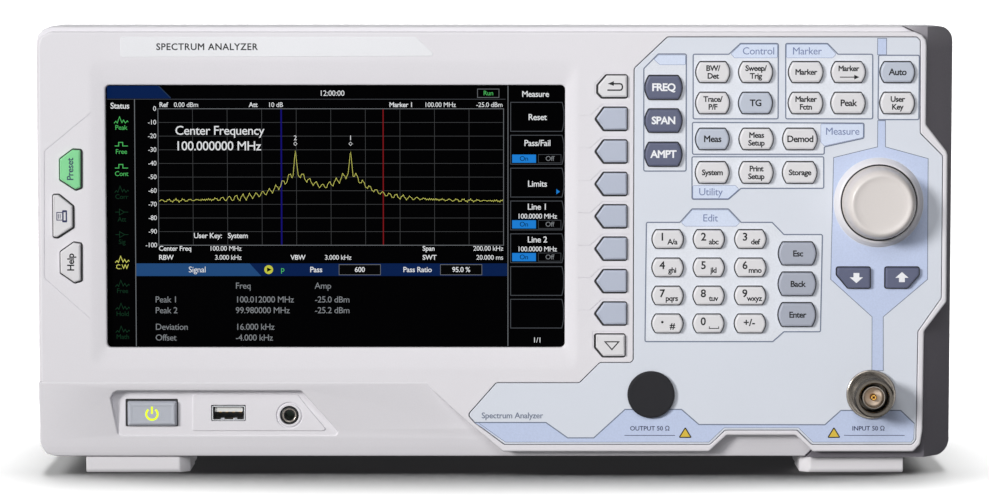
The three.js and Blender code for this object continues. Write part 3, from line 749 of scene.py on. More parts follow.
M["leg"] = plastic("leg_plastic_fine", (224, 222, 226), 0.42, 0.5, 0.08, 0.015, 0.4)
M["rubber"] = plastic("foot_rubber_matt", (52, 52, 55), 0.85, 0.9, 0.35, 0.08, 0.2)
M["grip"] = plastic("handle_grip_rubber", (58, 57, 62), 0.7, 0.8, 0.35, 0.06, 0.25)
M["black"] = plastic("black_plastic", (24, 24, 26), 0.45, 0.5, 0.12, 0.06, 0.4)
M["nickel"] = metal("nickel_plate", (132, 126, 119), 0.20)
M["nickel_turned"] = metal("nickel_turned", (92, 87, 81), 0.26, 1)
M["gold"] = metal("gold_contact", (222, 170, 84), 0.22)
M["tin"] = metal("tinned_sheet", (192, 194, 197), 0.34, None, 0.12, 0.12)
M["zinc"] = metal("zinc_sheet", (186, 190, 192), 0.36, None, 0.12, 0.22)
M["steel"] = metal("brushed_steel", (178, 180, 184), 0.30, 2)
M["ptfe"] = plastic("ptfe_insulator", (214, 196, 178), 0.4, 0.5, 0.05, 0.03, 0.4)
M["white_insulator"] = plastic("white_insulator", (226, 226, 222), 0.4, 0.5, 0.05, 0.03, 0.4)
M["glass"] = plastic("display_glass", (4, 4, 5), 0.16, 0.8, 0.0, 0.2, 0.0)
M["button"] = plastic("power_button_satin", (178, 182, 192), 0.28, 0.5, 0.03, 0.012, 0.5, 0.2)
M["glow"] = ink("power_symbol_lit", (214, 236, 30), 0.4, 0.02, 0.55)
M["usb_tongue"] = plastic("usb_tongue", (222, 222, 220), 0.4, 0.5, 0.04, 0.03, 0.4)
M["label_blank"] = plastic("label_film", (234, 235, 239), 0.35, 0.4, 0.03, 0.02, 0.4)

S = {}
for key, rgb, st in (("white", (236, 238, 240), 0.9), ("dim", (150, 154, 158), 0.7), ("grid", (92, 94, 96), 0.5), ("edge", (128, 132, 136), 0.7), ("yellow", (226, 226, 110), 0.9),
                     ("green", (90, 214, 110), 0.75), ("darkgreen", (22, 62, 40), 0.6), ("blue_line", (24, 18, 128), 0.7), ("red_line", (138, 24, 30), 0.8),
                     ("bar", (38, 84, 140), 0.75), ("bar_dark", (8, 38, 92), 0.7), ("toggle", (30, 132, 222), 0.9), ("boxline", (96, 100, 106), 0.6),
                     ("badge", (206, 208, 70), 0.9), ("black", (2, 2, 3), 0.2), ("corner", (52, 74, 104), 0.6)):
    S[key] = screen_ink("screen_" + key, rgb, st)

# ------------------------------------------------------------------ keys
GAP = 0.45
gap_shade_outlines = []


def barrel(x0, x1, z0, z1, c=1.5, r=0.5, n=6):
    """flat top and bottom, bowed ends"""
    m, h = (z0 + z1) / 2, (z1 - z0) / 2
    pts = []
    for s in (1, -1):
        edge = x1 if s > 0 else x0
        row = []
        for i in range(n + 1):
            t = -1 + 2 * i / n
            row.append((edge - s * c * abs(t) ** 1.9, m + s * t * h))
        pts += row
    return fillet(pts, r, 3)


def keycap(name, outlines, front, mat, legends=(), flange=0.9, bases=(-61.2, -60.4), plunger=(-60.6, -57.6), crown=0.0, edge=0.66):
    """one or more caps on a common flange, with soft edges, and its printed legends"""
    obs = []
    for k, o in enumerate(outlines):
        e = edge
        lv = [(0.0, bases[0] - 0.2), (0.0, front + 0.95 * e), (0.07 * e, front + 0.62 * e), (0.2 * e, front + 0.36 * e), (0.4 * e, front + 0.17 * e), (0.68 * e, front + 0.05 * e), (1.0 * e, front)]
        obs.append(solid_plate("%s_cap%d" % (name, k), [[(grow(o, -d), y) for d, y in lv[::-1]]], mat, 50))
        cx = sum(p[0] for p in o) / len(o)
        cz = sum(p[1] for p in o) / len(o)
        obs.append(plate("%s_stem%d" % (name, k), fillet(rect(cx - 2, cx + 2, cz - 2, cz + 2), 0.5, 2), [], plunger[0] + 0.2, plunger[1], mat, 0.2, 1))
    xs = [p[0] for o in outlines for p in o]
    zs = [p[1] for o in outlines for p in o]
    if len(outlines) > 1:
        fl = rect(min(xs) - 0.8, max(xs) + 0.8, min(zs) - 0.8, max(zs) + 0.8)
    else:
        fl = grow(outlines[0], flange)
    obs.append(plate(name + "_flange", fl, [], bases[0] - 0.15, bases[1], mat, 0.15, 1))
    for k, (body, x, z, size, ink_m, bold, opt) in enumerate(legends):
        obs.append(text("%s_legend%d" % (name, k), body, x, z, size, front - 0.03, ink_m, bold, **opt))
    return obs


def mid(b):
    return (b[0] + b[1]) / 2, (b[2] + b[3]) / 2


COL = [(78.6, 91.6), (95.4, 108.4), (114.9, 128.1), (131.6, 144.7), (150.8, 164.0)]
ROW = [(155.3, 163.1), (143.1, 151.1)]
MCOL = [(78.6, 91.5), (95.7, 108.8), (112.8, 126.0)]
DK, WH = M["dark_ink"], M["white_ink"]
panel_keys = [
    ("freq_key", (58.7, 73.0, 148.7, 157.7), "key_slate", "FREQ"), ("span_key", (58.7, 73.0, 135.8, 144.6), "key_slate", "SPAN"),
    ("ampt_key", (58.7, 73.0, 122.5, 131.5), "key_slate", "AMPT"),
    ("bw_key", COL[0] + ROW[0], "key_light", "BW/\nDet"), ("sweep_key", COL[1] + ROW[0], "key_light", "Sweep/\nTrig"),
    ("trace_key", COL[0] + ROW[1], "key_light", "Trace/\nP/F"), ("tg_key", COL[1] + ROW[1], "key_tint", "TG"),
    ("marker_key", COL[2] + ROW[0], "key_light", "Marker"), ("marker_to_key", COL[3] + ROW[0], "key_light", "Marker>"),
    ("marker_fctn_key", COL[2] + ROW[1], "key_light", "Marker\nFctn"), ("peak_key", COL[3] + ROW[1], "key_light", "Peak"),
    ("auto_key", COL[4] + ROW[0], "key_tint", "Auto"), ("user_key", COL[4] + ROW[1], "key_light", "User\nKey"),
    ("meas_key", MCOL[0] + (129.0, 137.0), "key_tint", "Meas"), ("meas_setup_key", MCOL[1] + (129.0, 137.0), "key_light", "Meas\nSetup"),
    ("demod_key", MCOL[2] + (129.0, 137.0), "key_light", "Demod"),
    ("system_key", MCOL[0] + (115.8, 123.9), "key_light", "System"), ("print_setup_key", MCOL[1] + (115.8, 123.9), "key_light", "Print\nSetup"),
    ("storage_key", MCOL[2] + (115.8, 123.9), "key_light", "Storage"),
]
panel_holes = []
for name, b, mat, label in panel_keys:
    o = barrel(*b)
    cx, cz = mid(b)
    leg = []
    if mat == "key_slate":
        leg.append((label, cx, cz, 4.1, WH, 0.13, {"spacing": 0.93}))
    elif label == "Marker>":
        leg.append(("Marker", cx, cz + 1.4, 2.95, DK, 0.09, {"spacing": 0.93}))
    elif "\n" in label:
        a, c = label.split("\n")
        leg.append((a, cx, cz + 1.5, 3.05, DK, 0.09, {"spacing": 0.93}))
        leg.append((c, cx, cz - 1.55, 3.05, DK, 0.09, {"spacing": 0.93}))
    else:
        leg.append((label, cx, cz, 3.6 if len(label) < 6 else 3.1, DK, 0.09, {"spacing": 0.93}))
    obs = keycap(name, [o], -65.8, M[mat], leg)
    if label == "Marker>":
        obs.append(stroke(name + "_arrow", [(cx - 3.4, cz - 1.9), (cx + 2.8, cz - 1.9)], 0.36, -65.83, DK, closed=False))
        obs.append(flat(name + "_head", [(cx + 2.2, cz - 2.8), (cx + 4.2, cz - 1.9), (cx + 2.2, cz - 1.0)], -65.83, DK))
    ob = join(name + "_cap", obs)
    place(ob, name, name, slot=mat)
    panel_holes.append(grow(o, GAP))
    gap_shade_outlines.append((o, -63.45))

# step keys below the knob, with block arrows
for name, o, cx, s in (("down_key", [(134.3, 79.6), (138.7, 74.4), (147.3, 74.4), (147.3, 82.4), (134.3, 82.4)], 141.8, -1),
                       ("up_key", [(153.4, 74.4), (162.0, 74.4), (166.5, 79.6), (166.5, 82.4), (153.4, 82.4)], 159.7, 1)):
    of = fillet(o, 0.6, 4)
    obs = keycap(name, [of], -65.8, M["key_slate"])
    cz = 78.6
    ar = [(cx - 1.15, cz - s * 1.8), (cx + 1.15, cz - s * 1.8), (cx + 1.15, cz - s * 0.1), (cx + 2.6, cz - s * 0.1), (cx, cz + s * 2.2), (cx - 2.6, cz - s * 0.1), (cx - 1.15, cz - s * 0.1)]
    obs.append(flat(name + "_arrow", ar, -65.83, WH))
    place(join(name + "_cap", obs), name, name, slot="key_slate")
    panel_holes.append(grow(of, GAP))
    gap_shade_outlines.append((of, -63.45))

NCOL = [(61.7, 73.7), (77.9, 89.8), (94.2, 106.2)]
NROW = [(90.2, 97.1), (79.0, 85.9), (67.9, 74.8), (56.8, 63.8)]
for name, row, labels in (("number_keys_1_2_3", NROW[0], (("1", "A/a"), ("2", "abc"), ("3", "def"))),
                          ("number_keys_4_5_6", NROW[1], (("4", "ghi"), ("5", "jkl"), ("6", "mno"))),
                          ("number_keys_7_8_9", NROW[2], (("7", "pqrs"), ("8", "tuv"), ("9", "wxyz"))),
                          ("number_keys_point_0_sign", NROW[3], ((".", "#"), ("0", "_"), ("+/-", "")))):
    outs, leg = [], []
    extra = []
    for (x0, x1), (big, small) in zip(NCOL, labels):
        o = barrel(x0, x1, row[0], row[1], 1.4)
        outs.append(o)
        cz = mid((x0, x1) + row)[1]
        if big == ".":
            extra.append(flat(name + "_dot", circle(x0 + 3.9, cz + 0.7, 0.5, 16), -65.83, DK))
        elif big == "+/-":
            leg.append((big, x0 + 5.6, cz + 0.4, 3.9, DK, 0.09, {}))
        else:
            leg.append((big, x0 + 3.8, cz + 0.85, 4.3, DK, 0.09, {}))
        if small == "_":
            extra.append(stroke(name + "_space", [(x0 + 6.2, cz - 1.0), (x0 + 6.2, cz - 1.8), (x0 + 9.9, cz - 1.8), (x0 + 9.9, cz - 1.0)], 0.32, -65.83, DK, closed=False))
        elif small == "#":
            leg.append((small, x0 + 7.9, cz - 0.9, 3.4, DK, 0.09, {}))
        elif small:
            leg.append((small, x0 + (7.8 if len(small) < 4 else 7.6), cz - 1.05, 3.0, DK, 0.08, {"spacing": 0.92}))
    obs = keycap(name, outs, -65.8, M["key_light"], leg) + extra
    place(join(name + "_caps", obs), name, name, slot="key_light")
    panel_holes += [grow(o, GAP) for o in outs]
    gap_shade_outlines += [(o, -63.45) for o in outs]

outs, leg = [], []
for (z0, z1), label in zip(((83.6, 92.3), (71.5, 80.4), (59.3, 68.3)), ("Esc", "Back", "Enter")):
    o = barrel(111.4, 125.9, z0, z1, 1.5)
    outs.append(o)
    leg.append((label, 118.8, (z0 + z1) / 2, 3.3, DK, 0.09, {"spacing": 0.93}))
place(join("esc_back_enter_caps", keycap("esc_back_enter_keys", outs, -65.8, M["key_edit"], leg)), "esc_back_enter_keys", "esc_back_enter_keys", slot="key_edit")
panel_holes += [grow(o, GAP) for o in outs]
gap_shade_outlines += [(o, -63.45) for o in outs]

# keys in the cover
cover_keys = [
    ("preset_key", [(-170.9, 117.2), (-164.9, 113.3), (-162.9, 114.0), (-162.8, 128.6), (-165.9, 128.8), (-170.9, 125.1)], "key_green", -47.0),
    ("print_key", [(-173.7, 94.7), (-172.2, 94.5), (-166.2, 98.4), (-166.2, 106.6), (-171.6, 111.0), (-173.7, 111.0)], "key_light", -47.0),
    ("help_key", [(-171.0, 80.5), (-165.6, 76.7), (-163.2, 77.4), (-163.1, 91.8), (-165.9, 92.2), (-171.0, 88.6)], "key_light", -47.0),
    ("return_key", [(40.3, 151.2), (41.9, 149.5), (51.5, 149.5), (51.5, 157.9), (43.6, 157.9), (40.3, 154.1)], "key_light", -56.0),
    ("page_key", [(39.6, 51.0), (42.5, 47.5), (50.9, 47.5), (50.9, 55.9), (39.6, 55.9)], "key_light", -56.0),
]
SOFT_Z = [140.95, 128.15, 115.4, 102.65, 89.9, 77.1, 64.3]
for i, z in enumerate(SOFT_Z):
    cover_keys.append(("softkey_%d" % (i + 1), [(39.6, z), (42.7, z - 4.25), (51.5, z - 4.25), (51.5, z + 4.25), (42.7, z + 4.25)], "key_soft", -56.0))
FY = -65.43
for name, o, mat, back in cover_keys:
    of = fillet(o, 0.45, 4)
    gap_shade_outlines.append((of, -63.6))
    leg, extra = [], []
    if name == "preset_key":
        leg = [("Preset", -166.7, 121.2, 3.6, M["navy_ink"], 0.05, {"rot": 90, "spacing": 0.95})]
    elif name == "help_key":
        leg = [("Help", -166.8, 84.6, 3.8, DK, 0.09, {"rot": 90, "spacing": 0.95})]
    elif name == "print_key":
        px, pz = -169.9, 102.7
        ni = M["navy_ink"]
        extra += [plate(name + "_body", fillet(rect(px - 0.2, px + 1.7, pz - 2.4, pz + 2.4), 0.3, 2), [rect(px + 0.35, px + 1.15, pz - 1.6, pz + 1.6)], FY, FY + 0.05, ni),
                  stroke(name + "_paper", [(px - 0.2, pz - 1.5), (px - 2.3, pz - 1.5), (px - 2.3, pz + 1.5), (px - 0.2, pz + 1.5)], 0.34, FY, ni, closed=False),
                  stroke(name + "_l1", [(px - 1.7, pz - 0.9), (px - 1.7, pz + 0.9)], 0.28, FY, ni, closed=False),
                  stroke(name + "_l2", [(px - 1.0, pz - 0.9), (px - 1.0, pz + 0.9)], 0.28, FY, ni, closed=False)]
    elif name == "return_key":
        x, z = 46.5, 153.7
        path = [(x - 2.7, z - 1.5)]
        for k in range(9):
            a = math.radians(-90 + 180 * k / 8)
            path.append((x + 2.3 + 0.75 * math.cos(a) * 1.2, z - 0.25 + 1.25 * math.sin(a)))
        path.append((x - 0.6, z + 1.0))
        extra += [stroke(name + "_bend", path, 0.55, FY, DK, closed=False), flat(name + "_head", [(x - 0.2, z + 0.2), (x - 2.6, z + 1.0), (x - 0.2, z + 2.0)], FY, DK)]
    elif name == "page_key":
        x, z = 45.8, 51.7
        extra += [stroke(name + "_tri", [(x - 2.7, z + 1.5), (x, z - 1.6), (x + 2.7, z + 1.5)], 0.45, FY, DK)]
    obs = keycap(name, [of], -65.4, M[mat], leg, 0.9, (-60.4, -59.6), (-59.8, back - 1.6), 0.0, 0.6) + extra
    place(join(name + "_cap", obs), name, name, slot=mat)

# ------------------------------------------------------------------ control panel with its printing
panel_outline = fillet(PANEL, 1.3, 4)
rf_hole, gen_hole, knob_hole = circle(RF[0], RF[1], 7.9, 48), circle(GEN[0], GEN[1], 7.4, 48), circle(KNOB[0], KNOB[1], 4.0, 32)
panel = plate("keypad_panel", panel_outline, panel_holes + [rf_hole, gen_hole, knob_hole], -63.8, -61.8, M["panel"], 0.18, 2)
collar = lathe("knob_collar", [(15.1, -62.9), (15.1, -65.8), (15.2, -65.95), (15.4, -66.0), (15.65, -65.93), (16.2, -65.5), (16.9, -64.75), (17.4, -64.2), (17.55, -63.95), (17.6, -63.75), (17.6, -62.9)], KNOB[0], KNOB[1], M["ring"], 96)
place(join("control_panel_plate", [panel, collar]), BODY, "control_panel", slot="panel_inlay")

Y1, Y2, Y3, Y4 = -63.825, -63.855, -63.885, -63.915
prints = []


def inside(pts, o):
    """holes of a printed area: the keys and ports it surrounds"""
    def hit(x, z):
        c = False
        for a, b in zip(o, o[1:] + o[:1]):
            if (a[1] > z) != (b[1] > z) and x < (b[0] - a[0]) * (z - a[1]) / (b[1] - a[1]) + a[0]:
                c = not c
        return c
    return [h for h in pts if all(hit(*p) for p in h)]


all_holes = [grow(h, 0.06) for h in panel_holes] + [circle(RF[0], RF[1], 7.95, 48), circle(GEN[0], GEN[1], 7.45, 48)]
edge = grow(panel_outline, -0.45)
# blue band along the lower edge and blue field behind the knob
low = [(-8.3, 21.0), (19.9, 21.0), (28.5, 14.9), (38.8, 14.9), (51.1, 26.2), (73.4, 26.2), (80.3, 20.2), (130.0, 20.1), (136.3, 25.8), (159.9, 25.8), (165.2, 20.8)]
band = low + [(165.0, 14.4), (164.2, 13.2), (125.4, 13.2), (119.6, 18.9), (90.2, 18.9), (84.3, 13.2), (3.9, 13.2)]

# ------------------------------------------------------------------ front cover
CREASE = 36.3


def chin_y(x, z):
    return -57.5 - ((z - BASE) / (CREASE - BASE)) * 6.5


POCKET = [(-152.0, 30.5), (-150.9, 32.6), (-149.0, 33.5), (-76.7, 33.5), (-61.2, 15.5), (-149.4, 15.5)]
COVER_OUTER = RIM[:-1] + [(165.0, 9.4), (125.6, 9.4), (122.9, BASE), (-174.8, BASE), (-178.2, 7.9), (-180.2, 10.4), (-HALF_W, 13.0),
                          (-HALF_W, 170.6), (-180.0, 173.6), (-178.0, 175.8), (-174.8, 176.8), (160.5, 176.8)]


def shifted(pts):
    """the keys sit a little off centre in their holes, which leaves a wider gap on one side"""
    d = -0.22 if pts[0][0] > 0 else 0.18
    return [(x + d, z - 0.12) for x, z in pts]


def build_cover():
    c = M["cover"]
    face = fillet(FACE, 1.6, 4)
    face_loop = rings_from(face, [(-0.8, -64.0), (-0.5, -63.95), (-0.23, -63.77), (-0.06, -63.5), (0, -63.2), (0, -56.4), (-2.4, -56.4), (-2.4, -61.0)])
    loops = [face_loop]
    # display opening: a broad bevel that runs down to the glass
    a, b = rect(-158.9, 32.0, 42.6, 163.2), rect(-153.1, 27.3, 50.7, 154.1)
    ra, rb = 4.0, 1.8
    loops.append([(fillet(grow(a, 1.0), ra, 6), -64.0), (fillet(grow(a, 0.3), ra, 6), -63.985), (fillet(grow(a, -0.6), ra, 6), -63.9),
                  (fillet(grow(b, 0.75), rb, 6), -63.16), (fillet(grow(b, 0.4), rb, 6), -63.08), (fillet(grow(b, 0.15), rb, 6), -62.9), (fillet(grow(b, 0.03), rb, 6), -62.65),
                  (fillet(b, rb, 6), -62.4), (fillet(b, rb, 6), -61.0)])
    loops.append(hole_loop(grow(panel_outline, 0.3), -64.0, -61.0, 0.3))
    for name, o, mat, back in cover_keys:
        loops.append(hole_loop(grow(shifted(fillet(o, 0.45, 4)), 0.62), -64.0, -61.0, 0.2))
    obs = [solid_plate("cover_face", loops, c)]
    # engraved lines: frames round the soft keys with leads from the display, and the field of the side keys
    cut, yy = [], (-64.4, -63.72)
    for i, z in enumerate(SOFT_Z):
        o = [(36.0, z + 1.3), (37.9, z + 1.3), (41.6, z + 5.6), (52.6, z + 5.6)]
        cut.append(strip("g%d" % i, [(32.6, z + 1.3), (37.2, z + 1.3), (41.9, z + 5.65), (52.7, z + 5.65)], 0.22, *yy))
    cut.append(strip("gr", [(38.9, 150.2), (38.9, 154.7), (43.0, 159.1), (52.0, 159.1)], 0.2, *yy))
    cut.append(strip("gp", [(38.2, 50.4), (38.2, 57.2), (50.8, 57.2)], 0.2, *yy))
    cut.append(strip("gl", [(-158.6, 143.3), (-177.0, 128.2), (-177.5, 78.5), (-159.4, 62.2)], 0.35, *yy))
    obs[0] = boolean(obs[0], [join("cuts", cut)])
    # rim of the cover behind the face
    oo = fillet(COVER_OUTER, 0.8, 3)
    obs.append(solid_plate("cover_rim", [rings_from(oo, [(-0.7, -56.5), (-0.43, -56.45), (-0.2, -56.3), (-0.05, -56.07), (0, -55.8), (0, -46.5), (-0.15, -46.15), (-0.5, -46.0)]),
                                         rings_from(oo, [(-3.0, -56.5), (-3.0, -46.0)])], c))
    # chin with the pocket of the front sockets
    left = [(-180.3, 37.1), (-180.3, 13.0), (-179.8, 10.4), (-178.2, 7.9), (-174.8, BASE), (122.7, BASE), (125.4, 9.5), (127.5, 11.5), (127.5, 19.0), (-3.0, 19.0), (-9.6, 21.5), (-27.0, 37.1)]
    lo = fillet(left, 0.6, 3)
    pk = fillet(POCKET, 1.2, 4)
    step = 0.0

    def off(dy):
        return lambda x, z: chin_y(x, z) + dy
    chin_outer = [(grow(lo, -0.6), off(0.0)), (grow(lo, -0.25), off(0.1)), (grow(lo, -0.06), off(0.3)), (lo, off(0.6)), (lo, -55.0)]
    chin_hole = [(grow(pk, 0.7), off(0.0)), (grow(pk, 0.42), off(0.06)), (grow(pk, 0.18), off(0.2)), (grow(pk, 0.03), off(0.45)), (grow(pk, -0.15), -58.9), (grow(pk, -0.15), -55.0)]
    obs.append(solid_plate("cover_chin", [chin_outer, chin_hole], c))
    # pocket floor with its openings, a raised socket shelf and a collar round the jack
    fl = fillet(grow(POCKET, 1.2), 1.2, 4)
    floor_loops = [[(fl, -59.0), (fl, -56.6)],
                   hole_loop(fillet(rect(-146.45, -125.7, 18.85, 29.8), 0.5, 3), -59.0, -56.6, 0.22),
                   hole_loop(fillet(rect(-112.5, -98.9, 21.0, 27.4), 0.35, 3), -59.0, -56.6, 0.2),
                   hole_loop(circle(-81.6, 23.3, 3.7, 40), -59.0, -56.6, 0.3)]
    obs.append(solid_plate("cover_pocket_floor", floor_loops, c))
    shelf = fillet([(-119.9, 31.6), (-119.9, 17.1), (-66.5, 17.1), (-74.5, 26.6), (-78.3, 31.6)], 0.8, 3)
    obs.append(solid_plate("cover_pocket_shelf", [outer_loop(shelf, -59.45, -58.8, 0.3), hole_loop(fillet(rect(-112.5, -98.9, 21.0, 27.4), 0.35, 3), -59.45, -58.8, 0.2),
                                                  hole_loop(circle(-81.6, 23.3, 5.2, 40), -59.45, -58.8, 0.25)], c))
    obs.append(lathe("jack_collar", [(3.7, -58.8), (3.7, -59.3), (3.85, -59.5), (4.2, -59.55), (4.55, -59.5), (4.7, -59.3), (4.7, -58.8)], -81.6, 23.3, c, 48))
    return join("front_cover", obs)


cover = build_cover()
place(cover, BODY, "front_bezel", slot="cover_plastic")
# painted shade: black rings fill the gaps round the keys, the knob and the power button, in place of the shade that
# falls in those gaps
gap_shade_parts = []
for o, y0 in gap_shade_outlines:
    rim_o = grow(shifted(o), 0.59) if y0 < -63.5 else grow(o, GAP - 0.03)
    gap_shade_parts.append(solid_plate("gap_shade_ring", [[(rim_o, y0), (rim_o, y0 + 1.1)], [(grow(o, 0.06), y0), (grow(o, 0.06), y0 + 1.1)]], M["black"], 0))
gap_shade_parts.append(lathe("knob_gap_painted_shade", [(14.57, -64.9), (15.06, -64.9), (15.06, -63.6), (14.57, -63.6)], KNOB[0], KNOB[1], M["black"], 96, smooth=0))
well_o, well_i = fillet(rect(-146.42, -125.73, 18.88, 29.77), 0.5, 3), fillet(rect(-145.68, -126.02, 19.12, 29.08), 0.6, 3)
gap_shade_parts.append(solid_plate("button_gap_painted_shade", [[(well_o, -58.6), (well_o, -56.7)], [(well_i, -58.6), (well_i, -56.7)]], M["black"], 0))
place(join("key_gap_painted_shade", gap_shade_parts), BODY, slot="cap_plastic")
for n, nm in (("left_leg", "leg_left_fine"), ("right_leg", "leg_right_fine")):
    place(refined(n, nm, M["leg"], 0.5, 3), n, n, slot="leg_plastic")
prints.append(flat("blue_band", band, Y1, M["blue"], 0.04, inside(all_holes, band)))
gen_arc = [p for p in low]
prints.append(stroke("band_line", low[:-1] + [(165.4, 20.6)], 0.42, Y2, M["line"], closed=False))
prints.append(stroke("band_edge", [(165.35, 20.6), (165.1, 14.4), (164.2, 13.2), (125.4, 13.2), (119.6, 18.9), (90.2, 18.9), (84.3, 13.2), (3.9, 13.2), (-6.6, 20.8)], 0.16, Y2, M["line"], closed=False))
kz = [(149.9, 140.2), (152.9, 140.2), (153.0, 129.9), (169.8, 125.3), (170.0, 77.7), (152.7, 62.9), (152.9, 41.6), (148.4, 41.6),
      (148.3, 62.9), (131.9, 77.7), (132.7, 125.7), (149.9, 129.9)]
ring_hole = circle(KNOB[0], KNOB[1], 17.75, 72)
knob_holes = [h for h in all_holes if all(131 < p[0] < 171 and 62 < p[1] < 84 for p in h)]
prints.append(flat("knob_zone", kz, Y1, M["blue"], 0.04, knob_holes + [ring_hole]))
prints.append(stroke("knob_zone_line", kz, 0.26, Y1 - 0.012, M["line"], 0.04))
prints.append(flat("knob_band", rect(149.6, 153.1, 166.0, 172.4), Y1, M["blue"], 0.04))
prints.append(stroke("knob_band_line", rect(149.6, 153.1, 166.0, 172.4), 0.26, Y1 - 0.012, M["line"], 0.04))
boxes = {
    "freq": ([(58.1, 160.6), (63.7, 166.3), (74.7, 166.3), (74.8, 120.4), (58.2, 120.4)],
             [(62.0, 164.2), (63.9, 165.9), (74.4, 165.9), (74.4, 162.1), (64.4, 162.1)]),
    "control": ([(77.4, 166.2), (91.4, 166.2), (95.9, 170.4), (110.7, 170.4), (110.8, 140.9), (77.5, 140.9)],
                [(92.2, 166.3), (96.0, 170.1), (110.4, 170.1), (110.4, 164.8), (93.6, 164.8)]),
    "marker": ([(113.6, 170.4), (130.0, 170.4), (134.1, 166.2), (147.7, 166.2), (147.9, 140.9), (113.8, 140.9)],
               [(113.9, 170.1), (129.9, 170.1), (133.4, 166.2), (132.0, 164.8), (113.9, 164.8)]),
    "auto": (rect(150.0, 166.0, 140.6, 165.8), None),
    "measure": ([(77.2, 139.5), (144.5, 139.2), (144.5, 133.3), (129.0, 129.9), (129.0, 127.0), (77.3, 127.0)],
                [(127.6, 138.9), (144.2, 138.9), (144.2, 133.6), (129.0, 130.3), (127.6, 131.8)]),
    "utility": ([(77.1, 126.0), (128.8, 126.0), (128.9, 113.6), (96.4, 113.6), (91.5, 109.3), (77.2, 109.3)],
                [(77.5, 109.6), (91.4, 109.6), (95.6, 113.3), (94.2, 114.7), (77.5, 114.7)]),
    "edit": ([(59.3, 100.2), (72.5, 100.2), (77.2, 105.5), (91.5, 105.5), (96.5, 100.2), (108.7, 100.2), (113.4, 95.4), (128.5, 95.4), (128.0, 57.0),
              (113.6, 57.0), (109.2, 53.1), (58.9, 53.1)],
             [(73.0, 100.1), (77.3, 105.1), (91.4, 105.1), (96.0, 100.1), (94.6, 98.7), (74.5, 98.7)]),
}
for k, (o, tab) in boxes.items():
    oo = fillet(o, 0.6, 3)
    prints.append(flat("box_" + k, oo, Y2, M["zone2"], 0.04, inside(all_holes, oo)))
    prints.append(stroke("boxline_" + k, oo, 0.46, Y3, M["line"]))
    if tab:
        prints.append(flat("tab_" + k, fillet(tab, 0.5, 3), Y3 + 0.01, M["tab"], 0.04))
        prints.append(stroke("tabline_" + k, fillet(tab, 0.5, 3), 0.14, Y3, M["word"]))
for word, x, z, size in (("Control", 103.0, 167.35, 4.1), ("Marker", 122.0, 167.35, 4.1), ("Measure", 136.1, 135.9, 4.1), ("Utility", 84.5, 112.1, 4.1), ("Edit", 84.4, 101.8, 4.1)):
    prints.append(text("word_" + word, word, x, z, size, Y4, M["word"], 0.0, spacing=0.95))
prints.append(text("word_type", "Spectrum Analyzer", 6.6, 23.7, 3.3, Y4, M["line"], 0.02, spacing=0.96))
prints.append(text("cap_gen", "OUTPUT 50 Ω", 60.9, 18.6, 2.5, Y4, M["navy_ink"], 0.02, spacing=1.0))
prints.append(text("cap_rf", "INPUT 50 Ω", 147.2, 18.6, 2.5, Y4, M["navy_ink"], 0.02, spacing=1.0))
for x, s in ((74.9, 1), (133.6, -1)):
    tri = [(x - 2.7, 14.9), (x + 2.7, 14.9), (x, 19.3)]
    tri = fillet(tri, 0.35, 3)
    prints.append(flat("port_mark", tri, Y3, M["dark_ink"]))
    prints.append(flat("port_mark_in", grow(tri, -0.42), Y4, M["amber"]))
prints.append(stroke("rule_gen", [(50.9, 15.9), (70.9, 15.9)], 0.22, Y4, M["navy_ink"], closed=False))
prints.append(stroke("rule_rf", [(137.6, 15.9), (161.5, 15.9)], 0.22, Y4, M["navy_ink"], closed=False))
pp = join("panel_printing", prints)
place(pp, BODY, slot="panel_inlay")

# name strip above the display, with a neutral caption
strip_o = fillet([(-146.8, 172.9), (-31.2, 172.9), (-23.3, 165.5), (-146.9, 165.1)], 0.8, 3)
lab = [solid_plate("strip_film", [outer_loop(strip_o, -64.12, -63.9, 0.1)], M["label_blank"])]
lab.append(text("strip_words", "SPECTRUM ANALYZER", -113.0, 169.0, 3.7, -64.16, M["dark_ink"], 0.06, spacing=1.08))
place(join("name_strip", lab), BODY, slot="cover_plastic")

# ------------------------------------------------------------------ display window and picture
def sx(px):
    return -153.1 + (px - 106.3) * (180.4 / 458.2)


def sz(py):
    return 154.1 - (py - 84.7) * (103.4 / 261.5)


win = solid_plate("display_glass", [outer_loop(fillet(rect(-156.5, 30.4, 47.4, 157.4), 1.5, 4), -60.7, -59.2, 0.35)[:-1] + [(fillet(rect(-156.5, 30.4, 47.4, 157.4), 1.5, 4), -59.05), (fillet(grow(rect(-156.5, 30.4, 47.4, 157.4), -0.15), 1.5, 4), -58.9)]], M["glass"])
place(win, BODY, "display_window", slot="window")
G1, G2, G3 = -60.73, -60.76, -60.79
pic = []


def srect(px0, px1, py0, py1, mat, y=G1):
    pic.append(flat("s", rect(sx(px0), sx(px1), sz(py1), sz(py0)), y, S[mat], 0.03))


def spoly(pts, mat, y=G1):
    pic.append(flat("s", [(sx(a), sz(b)) for a, b in pts], y, S[mat], 0.03))


def sline(pts, w, mat, y=G2, closed=False):
    pic.append(stroke("s", [(sx(a), sz(b)) for a, b in pts], w, y, S[mat], 0.03, closed))


def stext(body, px, py, size, mat, align="CENTER", bold=0.0, spacing=0.95, shear=0.0):
    pic.append(text("s", body, sx(px), sz(py), size * 1.13, G3, S[mat], bold * 0.7, align, 0.0, 0.03, spacing, 0.9, shear))


